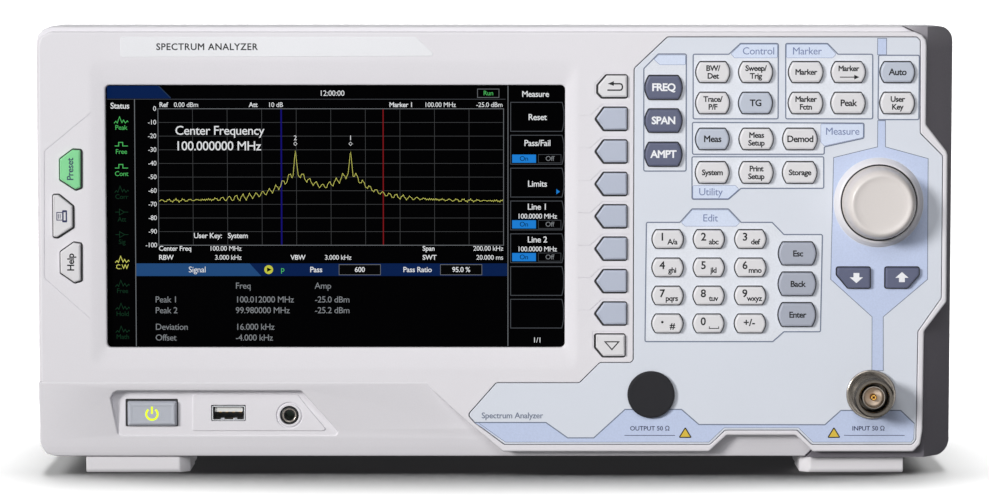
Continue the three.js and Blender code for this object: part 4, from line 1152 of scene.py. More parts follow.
# header, status column and frames
spoly([(107.5, 85.6), (159, 85.6), (171, 97.6), (171.5, 98.2), (107.5, 98.2)], "bar_dark")
sline([(159, 85.6), (171, 97.6)], 0.28, "corner")
sline([(134.9, 99), (134.9, 345.5)], 0.3, "edge")
sline([(107, 98.9), (505, 98.9)], 0.18, "boxline")
sline([(507.6, 85.5), (507.6, 345.5)], 0.3, "edge")
stext("12:00:00", 332, 93.2, 2.7, "white")
stext("Status", 120.3, 105.7, 2.9, "white", bold=0.05)
sline([(477.2, 88.8), (498.6, 88.8), (498.6, 97.2), (477.2, 97.2)], 0.22, "edge", closed=True)
stext("Run", 488, 93.0, 2.3, "green")
# graticule
gx0, gx1, gy0, gy1 = 158.2, 503.2, 108.4, 244.4
for i in range(1, 10):
    x = gx0 + (gx1 - gx0) * i / 10
    sline([(x, gy0), (x, gy1)], 0.17, "grid", G1)
    y = gy0 + (gy1 - gy0) * i / 10
    sline([(gx0, y), (gx1, y)], 0.17, "grid", G1)
sline([(gx0, gy0), (gx1, gy0), (gx1, gy1), (gx0, gy1)], 0.24, "edge", closed=True)
for i in range(11):
    stext("0" if i == 0 else str(-10 * i), 156.6, gy0 + (gy1 - gy0) * i / 10, 2.35, "white", "RIGHT")
srect(280.4, 282.0, gy0 + 0.6, gy1 - 0.4, "blue_line", G2)
srect(382.4, 383.5, gy0 + 0.6, gy1 - 0.4, "red_line", G2)


def wave(x):
    """two close carriers on a rippling floor"""
    base = 201.0
    lift = 22.0 / (1 + ((x - 322) / 44.0) ** 2) ** 1.3
    peaks = 0.0
    for c in (295.2, 350.4):
        d = abs(x - c)
        peaks = max(peaks, 46.0 * math.exp(-(d / 3.4) ** 1.15), 24.0 / (1 + (d / 17.0) ** 1.6))
    rip = 3.6 * math.sin(x * 0.94) * max(0.25, min(1.0, (x - 195) / 50.0, (450 - x) / 90.0)) + 0.9 * math.sin(x * 2.9 + 1.3) + 0.7 * math.sin(x * 0.83 + 0.4)
    rip *= 0.25 if peaks > 26 else 0.85
    return base - max(lift, 0) * 0.35 - peaks - rip * 0.9


trace = []
x = gx0 + 0.6
while x < gx1 - 0.4:
    trace.append((x, wave(x)))
    near = min(abs(x - 295.2), abs(x - 350.4))
    x += 0.55 if near < 9 else 1.05
sline(trace, 0.17, "yellow", G3)
stext("2", 295.2, 137.6, 2.4, "white")
stext("1", 350.4, 137.6, 2.4, "white")
for c in (295.2, 350.4):
    sline([(c, 141.4), (c + 1.7, 143.2), (c, 145.0), (c - 1.7, 143.2)], 0.16, "white", G3, True)
stext("Ref", 159.5, 104.6, 2.35, "white", "LEFT", 0.05)
stext("0.00 dBm", 174, 104.6, 2.35, "white", "LEFT")
stext("Att", 249, 104.6, 2.35, "white", "LEFT", 0.05)
stext("10 dB", 268, 104.6, 2.35, "white", "LEFT")
stext("Marker 1", 389, 104.6, 2.35, "white", "LEFT", 0.05)
stext("100.00 MHz", 424, 104.6, 2.35, "white", "LEFT")
stext("-25.0 dBm", 502.5, 104.6, 2.35, "white", "RIGHT")
stext("Center Frequency", 175, 130.4, 4.45, "white", "LEFT", 0.03)
stext("100.000000 MHz", 175, 145.8, 4.55, "white", "LEFT", 0.03)
stext("User Key:   System", 193, 235.0, 2.6, "white", "LEFT", 0.04)
stext("Center Freq", 158, 247.8, 2.4, "white", "LEFT", 0.04)
stext("100.00 MHz", 241, 247.8, 2.4, "white", "RIGHT")
stext("RBW", 158, 256.8, 2.4, "white", "LEFT", 0.05)
stext("3.000 kHz", 241, 256.8, 2.4, "white", "RIGHT")
stext("VBW", 290, 256.8, 2.4, "white", "LEFT", 0.05)
stext("3.000 kHz", 351, 256.8, 2.4, "white", "RIGHT")
stext("Span", 422, 247.8, 2.4, "white", "LEFT", 0.05)
stext("200.00 kHz", 503, 247.8, 2.4, "white", "RIGHT")
stext("SWT", 422, 256.8, 2.4, "white", "LEFT", 0.05)
stext("20.000 ms", 503, 256.8, 2.4, "white", "RIGHT")
# result bar
srect(135.4, 507.0, 262.6, 275.2, "bar_dark")
spoly([(135.4, 262.6), (249, 262.6), (260.5, 275.2), (135.4, 275.2)], "bar", G2)
stext("Signal", 196.5, 269.0, 2.9, "white")
pic.append(flat("s", circle(sx(268), sz(268.8), 1.75, 24), G2, S["badge"], 0.03))
spoly([(266.4, 266.6), (271.0, 268.8), (266.4, 271.0)], "black", G3)
stext("p", 282, 268.6, 2.8, "green")
stext("Pass", 315.5, 269.0, 2.7, "white", bold=0.05)
for a, b, t in ((338.5, 380, "600"), (440, 481.5, "95.0 %")):
    srect(a, b, 263.8, 274.0, "black", G2)
    sline([(a, 263.8), (b, 263.8), (b, 274.0), (a, 274.0)], 0.2, "edge", G3, True)
    stext(t, (a + b) / 2, 269.0, 2.5, "white", bold=0.04)
stext("Pass Ratio", 417, 269.0, 2.6, "white", bold=0.04)
# result table
stext("Freq", 234.5, 285.2, 3.1, "dim", "LEFT")
stext("Amp", 314, 285.2, 3.1, "dim", "LEFT")
for py, a, b, c in ((299, "Peak 1", "100.012000 MHz", "-25.0 dBm"), (309.8, "Peak 2", "99.980000 MHz", "-25.2 dBm"), (326.4, "Deviation", "16.000 kHz", ""), (337.2, "Offset", "-4.000 kHz", "")):
    stext(a, 154, py, 3.1, "dim", "LEFT")
    stext(b, 234.5, py, 3.1, "dim", "LEFT")
    if c:
        stext(c, 314, py, 3.1, "dim", "LEFT")
# status icons
icons = ((123, "green", "Peak", 0), (147, "green", "Free", 1), (169, "green", "Cont", 1), (192, "darkgreen", "Corr", 0), (214.5, "darkgreen", "Att", 2), (237, "darkgreen", "Sig", 2),
         (262, "yellow", "C.W", 0), (286, "darkgreen", "Free", 0), (309, "darkgreen", "Hold", 0), (332, "darkgreen", "Math", 0))
for py, mat, word, kind in icons:
    cx = 121.4
    if kind == 0:
        z = [(-7, 2.4), (-5.2, 0.4), (-3.8, 2.2), (-1.6, -4.0), (0.8, 1.8), (2.4, -0.8), (4.2, 2.2), (6.2, 0.0), (7, 1.2)]
        sline([(cx + a, py - 2.6 + b) for a, b in z], 0.26, mat, G2)
    elif kind == 1:
        sline([(cx - 6.5, py - 1.6), (cx - 2.6, py - 1.6), (cx - 2.6, py - 5.2), (cx + 1.4, py - 5.2), (cx + 1.4, py - 1.6), (cx + 6.5, py - 1.6)], 0.3, mat, G2)
    else:
        sline([(cx - 6.5, py - 3.2), (cx - 2.4, py - 3.2)], 0.26, mat, G2)
        sline([(cx - 2.4, py - 6.2), (cx + 2.6, py - 3.2), (cx - 2.4, py - 0.2)], 0.26, mat, G2, True)
        sline([(cx + 2.6, py - 3.2), (cx + 6.5, py - 3.2)], 0.26, mat, G2)
    stext(word, cx, py + 4.2, 2.35, mat if mat != "green" else "green")
# soft menu
stext("Measure", 535, 94.0, 2.9, "white", bold=0.05)
labels = ["Reset", "Pass/Fail", "Limits", "Line 1", "Line 2", "", ""]
for i, lab_ in enumerate(labels):
    y0 = 102.0 + i * 32.75
    y1 = y0 + 28.8
    o = [(510.3, y0), (561.6, y0), (562.6, y0 + 4), (563.4, y0 + 9), (563.4, y1 - 9), (562.6, y1 - 4), (561.6, y1), (510.3, y1)]
    sline(o, 0.26, "boxline", G2, True)
    if i in (1, 3, 4):
        srect(511.8, 535.6, y1 - 9.6, y1 - 1.4, "toggle", G2)
        sline([(538, y1 - 9.6), (560.6, y1 - 9.6), (560.6, y1 - 1.4), (538, y1 - 1.4)], 0.16, "boxline", G2, True)
        stext("On", 523.6, y1 - 5.4, 2.4, "black")
        stext("Off", 549.4, y1 - 5.4, 2.4, "dim")
    if lab_:
        ty = {0: y0 + 15.0, 1: y0 + 8.0, 2: y0 + 15.8, 3: y0 + 6.0, 4: y0 + 6.0}[i]
        stext(lab_, 537, ty, 3.0, "white", bold=0.05)
    if i in (3, 4):
        stext("100.0000 MHz", 536.8, y0 + 15.4, 2.45, "white", bold=0.03)
    if i == 2:
        spoly([(556.0, y1 - 8), (559.6, y1 - 5.4), (556.0, y1 - 2.8)], "toggle", G2)
stext("1/1", 537, 339.6, 2.6, "white")
place(join("display_picture", pic), BODY, slot="window")

# ------------------------------------------------------------------ tuning knob
KX, KZ = KNOB
prof = [(0, -77.35), (4.0, -77.37), (8.0, -77.46), (9.6, -77.58), (10.3, -77.75), (10.8, -77.92), (11.25, -77.99), (11.6, -77.9), (12.1, -77.55), (12.7, -76.9), (13.2, -76.0), (13.55, -74.8),
        (13.8, -72.5), (14.05, -69.0), (14.2, -67.0), (14.25, -66.3), (14.45, -66.1), (14.5, -65.8), (14.5, -64.5), (14.35, -64.2), (14.0, -64.1), (3.0, -64.1), (3.0, -57.2), (2.8, -57.0), (0, -57.0)]
knob = lathe("knob_turned", prof, KX, KZ, M["knob"], 128, smooth=40)
# shallow grip flutes round the skirt
me = knob.data
for v in me.vertices:
    x, y, z = v.co.x / MM - KX, v.co.y / MM, v.co.z / MM - KZ
    r = math.hypot(x, z)
    if r > 13.4 and y < -66.4:
        a = math.atan2(z, x)
        k = 1 - 0.010 * max(0.0, math.cos(a * 32)) * min(1.0, (-66.4 - y) / 1.5) * min(1.0, (r - 13.4) / 0.3)
        v.co.x = (KX + x * k) * MM
        v.co.z = (KZ + z * k) * MM
place(knob, "tuning_knob", "tuning_knob", slot="knob_plastic")

# ------------------------------------------------------------------ type N socket and port cap
RX, RZ = RF
flange_p = [(7.0, -64.1), (9.45, -64.1), (9.62, -64.2), (9.7, -64.4), (9.7, -65.35), (9.6, -65.58), (9.35, -65.7), (8.9, -65.7), (8.75, -65.55), (8.55, -65.55), (8.4, -65.7), (7.0, -65.7)]
body_p = [(5.6, -77.2), (5.75, -77.6), (6.1, -77.92), (6.6, -78.0), (7.15, -77.92), (7.45, -77.6)]
y = -76.9
body_p.append((7.55, y))
while y < -68.4:
    body_p += [(7.8, y + 0.28), (7.8, y + 0.42), (7.28, y + 0.72)]
    y += 0.82
body_p += [(7.2, -67.9), (7.2, -67.2), (7.6, -67.0), (7.75, -66.8), (7.8, -66.5), (7.8, -65.6), (6.0, -65.6), (6.0, -50.6), (5.8, -50.5), (5.0, -50.5), (5.0, -68.0), (5.6, -68.0)]
parts = [lathe("n_flange", flange_p, RX, RZ, M["nickel"], 96, smooth=40),
         lathe("n_barrel", body_p, RX, RZ, M["nickel_turned"], 96, smooth=32),
         lathe("n_inner_ring", [(3.9, -66.0), (3.9, -75.6), (4.05, -75.9), (4.4, -75.95), (4.6, -75.8), (4.65, -75.4), (4.65, -66.0)], RX, RZ, M["nickel"], 64, smooth=40),
         lathe("n_floor", [(0, -68.3), (5.55, -68.3), (5.55, -66.8), (0, -66.8)], RX, RZ, M["nickel_turned"], 64, smooth=30),
         lathe("n_insulator", [(0.9, -67.5), (0.9, -72.2), (1.1, -72.6), (3.3, -72.6), (3.75, -72.3), (3.88, -71.8), (3.88, -67.5)], RX, RZ, M["ptfe"], 48, smooth=40),
         lathe("n_contact", [(0.42, -70.0), (0.42, -75.35), (0.55, -75.5), (0.95, -75.5), (1.2, -75.3), (1.35, -74.9), (1.35, -68.0), (0.42, -68.0)], RX, RZ, M["gold"], 32, smooth=40),
         lathe("n_pin", [(0, -50.6), (2.0, -50.6), (2.2, -50.3), (2.2, -41.6), (1.9, -41.2), (0, -41.2)], RX, RZ, M["gold"], 32, smooth=40)]
# four slots in the contact, drawn as thin black strips of painted shade where the open slots look dark
for k in range(4):
    a = math.radians(45 + 90 * k)
    c, s = math.cos(a), math.sin(a)
    o = [(RX + c * r - s * w, RZ + s * r + c * w) for r, w in ((0.5, -0.09), (1.28, -0.09), (1.28, 0.09), (0.5, 0.09))]
    parts.append(solid_plate("n_slot", [[(ccw(o), -75.52), (ccw(o), -75.2)]], M["black"], 0))
place(join("rf_input_socket", parts), BODY, "rf_input_connector", slot="connector_metal")

gx, gz = GEN
cap_p = [(0, -65.62), (7.2, -65.64), (8.1, -65.68), (8.6, -65.7), (9.0, -65.6), (9.2, -65.35), (9.3, -65.0), (9.3, -64.3), (9.2, -64.12), (7.0, -64.1), (7.0, -61.2), (7.3, -60.9), (7.3, -60.3), (6.8, -59.3), (6.0, -59.2), (0, -59.2)]
place(lathe("port_cap", cap_p, gx, gz, M["cap"], 96, smooth=35), BODY, "gen_output_cap", slot="cap_plastic")

# ------------------------------------------------------------------ power button
px0, px1, pz0, pz1 = -145.6, -126.1, 19.2, 29.0
o = fillet(rect(px0, px1, pz0, pz1), 0.6, 3)
levels = [(2.2, -61.05), (1.9, -61.08), (1.55, -61.17), (1.25, -61.2), (0.95, -61.16), (0.6, -60.95), (0.25, -60.5), (0.06, -60.1), (0.0, -59.6), (0.0, -55.0)]
parts = [solid_plate("power_cap", [[(grow(o, -d), y) for d, y in levels]], M["button"], 50),
         solid_plate("power_flange", [[(rect(-147.0, -124.7, 17.8, 30.4), -55.2), (rect(-147.0, -124.7, 17.8, 30.4), -54.2)]], M["button"], 30),
         solid_plate("power_stem", [[(rect(-138, -134, 22, 26), -54.3), (rect(-138, -134, 22, 26), -48.5)]], M["button"], 30)]
cx, cz = (px0 + px1) / 2, (pz0 + pz1) / 2 - 0.1
arc = []
for k in range(33):
    a = math.radians(90 + 38 + (360 - 76) * k / 32)
    arc.append((cx + 2.25 * math.cos(a), cz + 2.25 * math.sin(a)))
parts.append(stroke("power_arc", arc, 0.78, -61.1, M["glow"], 0.06, closed=False))
parts.append(stroke("power_bar", [(cx, cz + 0.1), (cx, cz + 3.0)], 0.74, -61.1, M["glow"], 0.06, closed=False))
place(join("power_button_cap", parts), "power_button", "power_button", slot="power_button")

# ------------------------------------------------------------------ front socket board
def chip(name, x0, x1, y0, y1, z0, z1, mat):
    return slab_x(name, x0, x1, y0, y1, z0, z1, mat, 0.25, 2)


m_pcb = plastic("solder_mask", (34, 96, 62), 0.32, 0.9, 0.08, 0.06, 0.5)
pcb_o = [(-176.5, 11), (-60, 11), (-60, 35), (-159.5, 35), (-159.5, 132), (-176.5, 132)]
parts = [solid_plate("io_pcb", [[(pcb_o, -46.9), (pcb_o, -45.4)]], m_pcb, 30)]
# USB-A socket: folded metal shell, tongue, contacts and two spring tabs
parts.append(solid_plate("usb_shell", [rings_from(fillet(rect(-112.25, -99.15, 21.25, 27.15), 0.5, 3), [(-0.05, -59.35), (0, -59.25), (0, -47.2)]),
                                       rings_from(fillet(rect(-111.85, -99.55, 21.65, 26.75), 0.3, 3), [(0.0, -59.35), (-0.0, -59.25), (0, -47.2)])], M["tin"], 30))
parts.append(slab_x("usb_back", -112.0, -99.4, -47.9, -47.0, 21.5, 26.9, M["black"], 0.3, 2))
parts.append(slab_x("usb_tongue", -111.2, -100.2, -57.9, -47.6, 24.55, 26.35, M["usb_tongue"], 0.2, 2))
for k in range(4):
    x = -109.6 + k * 2.6
    parts.append(slab_x("usb_contact", x, x + 1.1, -57.4, -48.0, 24.35, 24.6, M["gold"], 0.08, 2))
for x in (-108.9, -103.9):
    parts.append(slab_x("usb_spring", x, x + 1.5, -57.2, -52.0, 21.62, 22.0, M["steel"], 0.1, 2))
# phones jack: black barrel with a metal throat
jx, jz = -81.6, 23.3
parts.append(lathe("jack_body", [(1.85, -59.0), (1.95, -59.15), (2.3, -59.2), (2.9, -59.2), (3.2, -59.05), (3.3, -58.8), (3.3, -47.0), (1.85, -47.0)], jx, jz, M["black"], 48, smooth=40))
parts.append(lathe("jack_throat", [(1.8, -58.7), (2.25, -59.22), (2.45, -59.3), (2.7, -59.3), (2.8, -59.2), (2.5, -58.9), (2.1, -58.2), (2.1, -48.2), (1.8, -48.2)], jx, jz, M["nickel"], 48, smooth=40))
parts.append(slab_x("io_chip_a", -170, -164, -48.6, -46.8, 60, 66, M["black"], 0.3, 2))
parts.append(slab_x("io_switch_a", -168.6, -164.9, -47.25, -46.8, 118, 124, M["black"], 0.3, 2))
parts.append(slab_x("io_switch_b", -171.6, -167.9, -47.25, -46.8, 99, 105, M["black"], 0.3, 2))
place(join("front_socket_board", parts), BODY, "front_io_board", slot="circuit_board")

# ------------------------------------------------------------------ rear case
def box_cut(x0, x1, y0, y1, z0, z1):
    return solid_plate("cut", [[(rect(x0, x1, z0, z1), y0), (rect(x0, x1, z0, z1), y1)]], M["case"], 0)


def round_cut(x, z, r, y0, y1, n=48):
    return solid_plate("cut", [[(circle(x, z, r, n), y0), (circle(x, z, r, n), y1)]], M["case"], 0)


def across(name, pts, x0, x1, mat, r=0.0, smooth=40, n=3):
    """outline in (y, z) made solid between two x planes, edges of the ends rounded by r"""
    o = ccw([(y, z) for y, z in pts])
    rings = [(o, x0), (o, x1)] if not r else rings_from(o, [(-r, x0), (-r * 0.62, x0 + r * 0.08), (-r * 0.29, x0 + r * 0.29), (-r * 0.08, x0 + r * 0.62), (0, x0 + r),
                                                          (0, x1 - r), (-r * 0.08, x1 - r * 0.62), (-r * 0.29, x1 - r * 0.29), (-r * 0.62, x1 - r * 0.08), (-r, x1)])
    ob = solid_plate(name, [rings], mat, smooth)
    ob.data.transform(Matrix(((0, 1, 0, 0), (1, 0, 0, 0), (0, 0, 1, 0), (0, 0, 0, 1))))
    ob.data.flip_normals()
    return ob


CASE_O = fillet(rect(-HALF_W, HALF_W, BASE, TOP), 6.0, 8)
CASE_I = fillet(rect(-HALF_W + 2.6, HALF_W - 2.6, BASE + 2.6, TOP - 2.6), 4.0, 6)


def fall(z, y):
    return z - max(0.0, (y + 12.0) / 77.0) * 1.42 if z > TOP - 8 else z


def sloped(rings):
    return [([(x, fall(z, y)) for x, z in pts], y) for pts, y in rings]


ys = [-45.7, -45.4, -12.0, 10.0, 30.0, 50.0, 61.6]
rings = [([(x, z) for x, z in (CASE_O if k else grow(CASE_O, -0.3))], y) for k, y in enumerate(ys)]
rings += [(grow(CASE_O, -d), y) for d, y in ((0.08, 62.35), (0.35, 63.0), (0.85, 63.55), (1.6, 63.9), (2.4, 64.0))]
shell = solid_plate("case_shell", [sloped(rings)], M["case"], 40)
hollow = solid_plate("cut", [[(CASE_I, -60), (CASE_I, -11.9), ([(x, fall(z, 61.4)) for x, z in CASE_I], 61.4)]], M["case"], 0)
boolean(shell, [hollow])
HX, HY, HZ = 100.0, -4.0, 173.0
recess_frame = slab_x("recess_frame", -108, 108, -14, 62, 166.6, 174.6, M["case"], 0.4, 2)
boolean(shell, [recess_frame], "UNION")
# recess with drafted, rounded walls, opened from above
ro = fillet([(-104, -10), (104, -10), (104, 59.6), (-104, 59.6)], 2.2, 6)
verts, faces = [], []
steps = [(grow(ro, 1.5), 180.0), (grow(ro, 1.5), 177.9), (grow(ro, 0.7), 176.6), (grow(ro, 0.25), 175.7), (ro, 174.8), (ro, 170.0), (grow(ro, -0.25), 169.45), (grow(ro, -0.8), 169.2)]
n = len(ro)
for pts, z in steps:
    verts += [(x, y, z) for x, y in pts]
for k in range(len(steps) - 1):
    for i in range(n):
        j = (i + 1) % n
        faces.append((k * n + i, k * n + j, (k + 1) * n + j, (k + 1) * n + i))
faces.append(tuple(range(n)))
faces.append(tuple((len(steps) - 1) * n + i for i in range(n - 1, -1, -1)))
recess = make("cut", verts, faces, M["case"], 0)
finger = slab_x("cut", -46, 46, 44, 58, 167.9, 172, M["case"], 0.8, 3)
pins = [lathe("cut", [(0, a), (2.7, a), (2.7, b), (0, b)], HY, HZ, M["case"], 32, axis="X", smooth=0) for a, b in ((-107.2, -103), (103, 107.2))]
boolean(shell, [recess, finger] + pins)
# rear openings
BNC = (-150, -126, -102)
FX, FZ = 108.0, 122.0
cuts = [round_cut(x, 34, 6.5, 60, 66) for x in BNC]
cuts += [solid_plate("cut", [rings_from(fillet(rect(a, b, c, d), 0.5, 3), [(0, 60), (0, 66)])], M["case"], 0) for a, b, c, d in
         ((-72.4, -55.6, 25.2, 39.6), (-46.4, -33.6, 25.2, 37.0), (116.1, 145.9, 15.2, 45.0))]
for i in range(7):
    w = math.sqrt(26 * 26 - (i - 3) ** 2 * 49)
    cuts.append(solid_plate("cut", [rings_from(fillet(rect(FX - w, FX + w, FZ + (i - 3) * 7 - 2, FZ + (i - 3) * 7 + 2), 1.95, 5), [(0, 60), (0, 62.9), (0.1, 63.6), (0.6, 64.1), (0.6, 66)])], M["case"], 0))
# shallow rebate round the fan and a panel field for the sockets
cuts.append(solid_plate("cut", [[(circle(FX, FZ, 31.5, 96), 63.3), (circle(FX, FZ, 31.8, 96), 64.2)], [(circle(FX, FZ, 29.6, 96), 63.3), (circle(FX, FZ, 29.3, 96), 64.2)]], M["case"], 0))
field = fillet([(-172, 14.5), (-20, 14.5), (-20, 40), (-30, 49), (-172, 49)], 2.0, 4)
cuts.append(solid_plate("cut", [rings_from(field, [(0, 63.4), (0.25, 63.65), (0.55, 64.2)])], M["case"], 0))
cuts.append(solid_plate("cut", [rings_from(fillet(rect(104, 158, 12.6, 48), 2.0, 4), [(0, 63.4), (0.25, 63.65), (0.55, 64.2)])], M["case"], 0))
boolean(shell, cuts)
# rear field of ventilation slots on both sides and their recessed frames
cuts = []
for s in (-1, 1):
    for i in range(8):
        y0 = -20 + i * 8
        o = fillet([(y0, 40), (y0 + 3, 40), (y0 + 3, 120), (y0, 120)], 1.45, 5)
        cuts.append(across("cut", o, s * 181.5 if s < 0 else 176.0, -176.0 if s < 0 else 181.5, M["case"], 0, 0))
boolean(shell, cuts)
cuts = []
for s in (-1, 1):
    for i in range(8):
        y0 = -20 + i * 8
        o = fillet([(y0 - 0.7, 39.3), (y0 + 3.7, 39.3), (y0 + 3.7, 120.7), (y0 - 0.7, 120.7)], 2.1, 5)
        cuts.append(across("cut", o, min(s * 180.3, s * 181.5), max(s * 180.3, s * 181.5), M["case"], 0, 0))
# parting groove round the case behind the cover
groove = solid_plate("cut", [[(grow(CASE_O, 1.0), -41.6), (grow(CASE_O, 1.0), -40.9)], [(grow(CASE_O, -0.35), -41.6), (grow(CASE_O, -0.35), -40.9)]], M["case"], 0)
boolean(shell, cuts + [groove])
# screw wells at the rear corners
SCREWS = ((-170.5, 166.5), (170.5, 166.5), (-170.5, 60.0), (170.5, 60.0), (0.0, 150.0), (0.0, 18.0))
boolean(shell, [round_cut(x, z, 4.2, 62.2, 66, 32) for x, z in SCREWS])
case_parts = [shell]


def screw(x, z, y, r=2.9, axis="Y"):
    """pan-head screw with a cross recess"""
    head = lathe("screw", [(0, y), (r * 0.99, y), (r, y + 0.15), (r * 0.98, y + 0.7), (r * 0.85, y + 1.15), (r * 0.55, y + 1.45), (0, y + 1.55)], x, z, M["steel"], 32, smooth=50)
    cross = []
    for a in (45, 135):
        ca, sa = math.cos(math.radians(a)), math.sin(math.radians(a))
        o = [(x + ca * u - sa * v, z + sa * u + ca * v) for u, v in ((-r * 0.55, -0.28), (r * 0.55, -0.28), (r * 0.55, 0.28), (-r * 0.55, 0.28))]
        cross.append(solid_plate("cut", [[(ccw(o), y + 0.75), (ccw(o), y + 2)]], M["steel"], 0))
    return boolean(head, cross)


for x, z in SCREWS:
    case_parts.append(screw(x, z, 62.2))
for dx in (-1, 1):
    for dz in (-1, 1):
        case_parts.append(screw(FX + dx * 25.5, FZ + dz * 25.5, 62.45, 2.4))
# lugs that carry the leg pins
for a, b in ((-162.6, -121.4), (120.8, 162.0)):
    for x0 in (a, b - 3.6):
        lug = across("lug", fillet([(-29, 0.8), (-21, 0.8), (-21, 7.2), (-29, 7.2)], 1.6, 5, None), x0, x0 + 3.6, M["case"], 0.4)
        hole = lathe("cut", [(0, x0 - 1), (1.9, x0 - 1), (1.9, x0 + 4.6), (0, x0 + 4.6)], -25, 3.6, M["case"], 24, axis="X", smooth=0)
        case_parts.append(boolean(lug, [hole]))
place(join("rear_case_shell", case_parts), BODY, "rear_case", slot="case_plastic")

# slanted flank beside the cover: follows the stepped rim of the cover. Painted shade: it is a dark grey piece standing
# in for the shade on the right-facing side, and its upward-facing faces take the light case plastic as painted light on
# the top
inner_o = grow([(164.2, 175.0), (166.9, 173.8), (168.6, 171.8), (168.9, 169.5), (168.9, 138.6), (177.0, 128.2), (177.5, 126.6), (177.6, 68.8), (168.9, 57.2), (168.6, 17.6), (167.7, 12.3), (165.0, 9.4),
                (125.6, 9.4), (122.9, 6.8), (100, 6.8), (100, 176.8), (160.5, 176.8)], 0.3)
outer_c = solid_plate("flank_shade_blank", [[(CASE_O, -60.0), (CASE_O, -45.75)]], M["flank"], 0)
keep = solid_plate("cut", [[(rect(120.0, 190, 0, 190), -70), (rect(120.0, 190, 0, 190), -40)]], M["flank"], 0)
boolean(outer_c, [keep], "INTERSECT")
wedge = make("cut", [(168.6, -60.98, 0), (184, -60.98, 0), (184, -45.34, 0), (168.6, -60.98, 200), (184, -60.98, 200), (184, -45.34, 200)], [(0, 1, 2), (3, 5, 4), (0, 3, 4, 1), (1, 4, 5, 2), (2, 5, 3, 0)], M["flank"], 0)
inner_c = solid_plate("cut", [[(inner_o, -72), (inner_o, -45.0)]], M["flank"], 0)
face_c = solid_plate("cut", [[(grow(FACE, 0.3), -72), (grow(FACE, 0.3), -50)]], M["flank"], 0)
boolean(outer_c, [wedge, inner_c, face_c])
mo = outer_c.modifiers.new("round", "BEVEL")
mo.limit_method, mo.angle_limit, mo.width, mo.segments, mo.use_clamp_overlap = "ANGLE", math.radians(28), 0.6 * MM, 3, True
fine = evaluated(outer_c)
drop(outer_c)
# painted light: faces turned upward get the light case colour, all others the dark painted-shade colour
painted_lit_top = [1 if p.normal.z > 0.45 else 0 for p in fine.polygons]
flank = finish_mesh("side_flank_painted_shade", fine, [M["flank"], M["case"]], 40, painted_lit_top, merge=False)
place(flank, BODY, "rear_case", slot="handle_grip")

# ------------------------------------------------------------------ carry handle
grip_o = fillet([(45, 169.8), (58, 169.8), (58, 175.2), (45, 175.2)], 2.3, 6)
# the bare bar stops under the sleeve, so its ribs are not buried
parts = [across("handle_bar", grip_o, -102.5, -61.7, M["case"], 0.9), across("handle_bar", grip_o, 61.7, 102.5, M["case"], 0.9)]
for s in (-1, 1):
    x0, x1 = (-102.5, -91.0) if s < 0 else (91.0, 102.5)
    arm = [(HY + 3.2 * math.cos(math.radians(90 + 180 * k / 16)), HZ + 3.2 * math.sin(math.radians(90 + 180 * k / 16))) for k in range(17)] + [(50, 169.8), (50, 175.6)]
    parts.append(across("handle_arm", arm, x0, x1, M["case"], 0.9))
    a, b = (-106.4, -102.0) if s < 0 else (102.0, 106.4)
    parts.append(lathe("handle_pin", [(0, a), (2.0, a), (2.2, a + 0.2), (2.2, b - 0.2), (2.0, b), (0, b)], HY, HZ, M["steel"], 32, axis="X", smooth=40))
    parts.append(lathe("handle_boss", [(0, x1 - 0.1 if s < 0 else x0 + 0.1)] + ([(2.0, x1 - 0.1), (2.0, x1 + 0.25), (1.6, x1 + 0.4), (0, x1 + 0.4)] if s < 0 else [(2.0, x0 + 0.1), (2.0, x0 - 0.25), (1.6, x0 - 0.4), (0, x0 - 0.4)]), HY, HZ, M["steel"], 32, axis="X", smooth=40))
# soft grip sleeve with ribs over the middle of the bar
prof = [(-62.0, -0.5), (-61.8, -0.1), (-61.4, 0.0)]
for k in range(28):
    xc = -58.0 + k * 4.2
    prof += [(xc - 1.2, 0.0), (xc - 0.8, -0.28), (xc, -0.4), (xc + 0.8, -0.28), (xc + 1.2, 0.0)]
prof += [(61.4, 0.0), (61.8, -0.1), (62.0, -0.5)]
sl = solid_plate("handle_sleeve", [[(grow(grip_o, 0.02 + d), xx) for xx, d in prof]], M["grip"], 50)
sl.data.transform(Matrix(((0, 1, 0, 0), (1, 0, 0, 0), (0, 0, 1, 0), (0, 0, 0, 1))))
sl.data.flip_normals()
parts.append(sl)
place(join("carry_handle_grip", parts), "carry_handle", "carry_handle", slot="handle_grip")

# ------------------------------------------------------------------ rear feet
for nm, a, b in (("rear_foot_left", -152, -124), ("rear_foot_right", 124, 152)):
    o = fillet([(a, 40), (b, 40), (b, 58), (a, 58)], 2.5, 6)
    rings = [(grow(o, -2.4), 0.55), (grow(o, -1.9), 0.5), (grow(o, -1.6), 0.1), (grow(o, -1.1), 0.0), (grow(o, -0.55), 0.08), (grow(o, -0.2), 0.35), (o, 0.8), (grow(o, -0.25), 5.6), (grow(o, -0.4), 6.5)]
    ob = solid_plate(nm + "_rubber", [rings], M["rubber"], 40)
    ob.data.transform(Matrix(((1, 0, 0, 0), (0, 0, 1, 0), (0, 1, 0, 0), (0, 0, 0, 1))))
    ob.data.flip_normals()
    grooves = [solid_plate("cut", [[([(a + 4 + 4 * k, 30), (a + 5 + 4 * k, 30), (a + 5 + 4 * k, 70), (a + 4 + 4 * k, 70)], -1.0), ([(a + 4 + 4 * k, 30), (a + 5 + 4 * k, 30), (a + 5 + 4 * k, 70), (a + 4 + 4 * k, 70)], 0.5)]], M["rubber"], 0) for k in range(6)]
    for g in grooves:
        g.data.transform(Matrix(((1, 0, 0, 0), (0, 0, 1, 0), (0, 1, 0, 0), (0, 0, 0, 1))))
        g.data.flip_normals()
    boolean(ob, grooves)
    place(ob, BODY, nm, slot="foot_rubber")

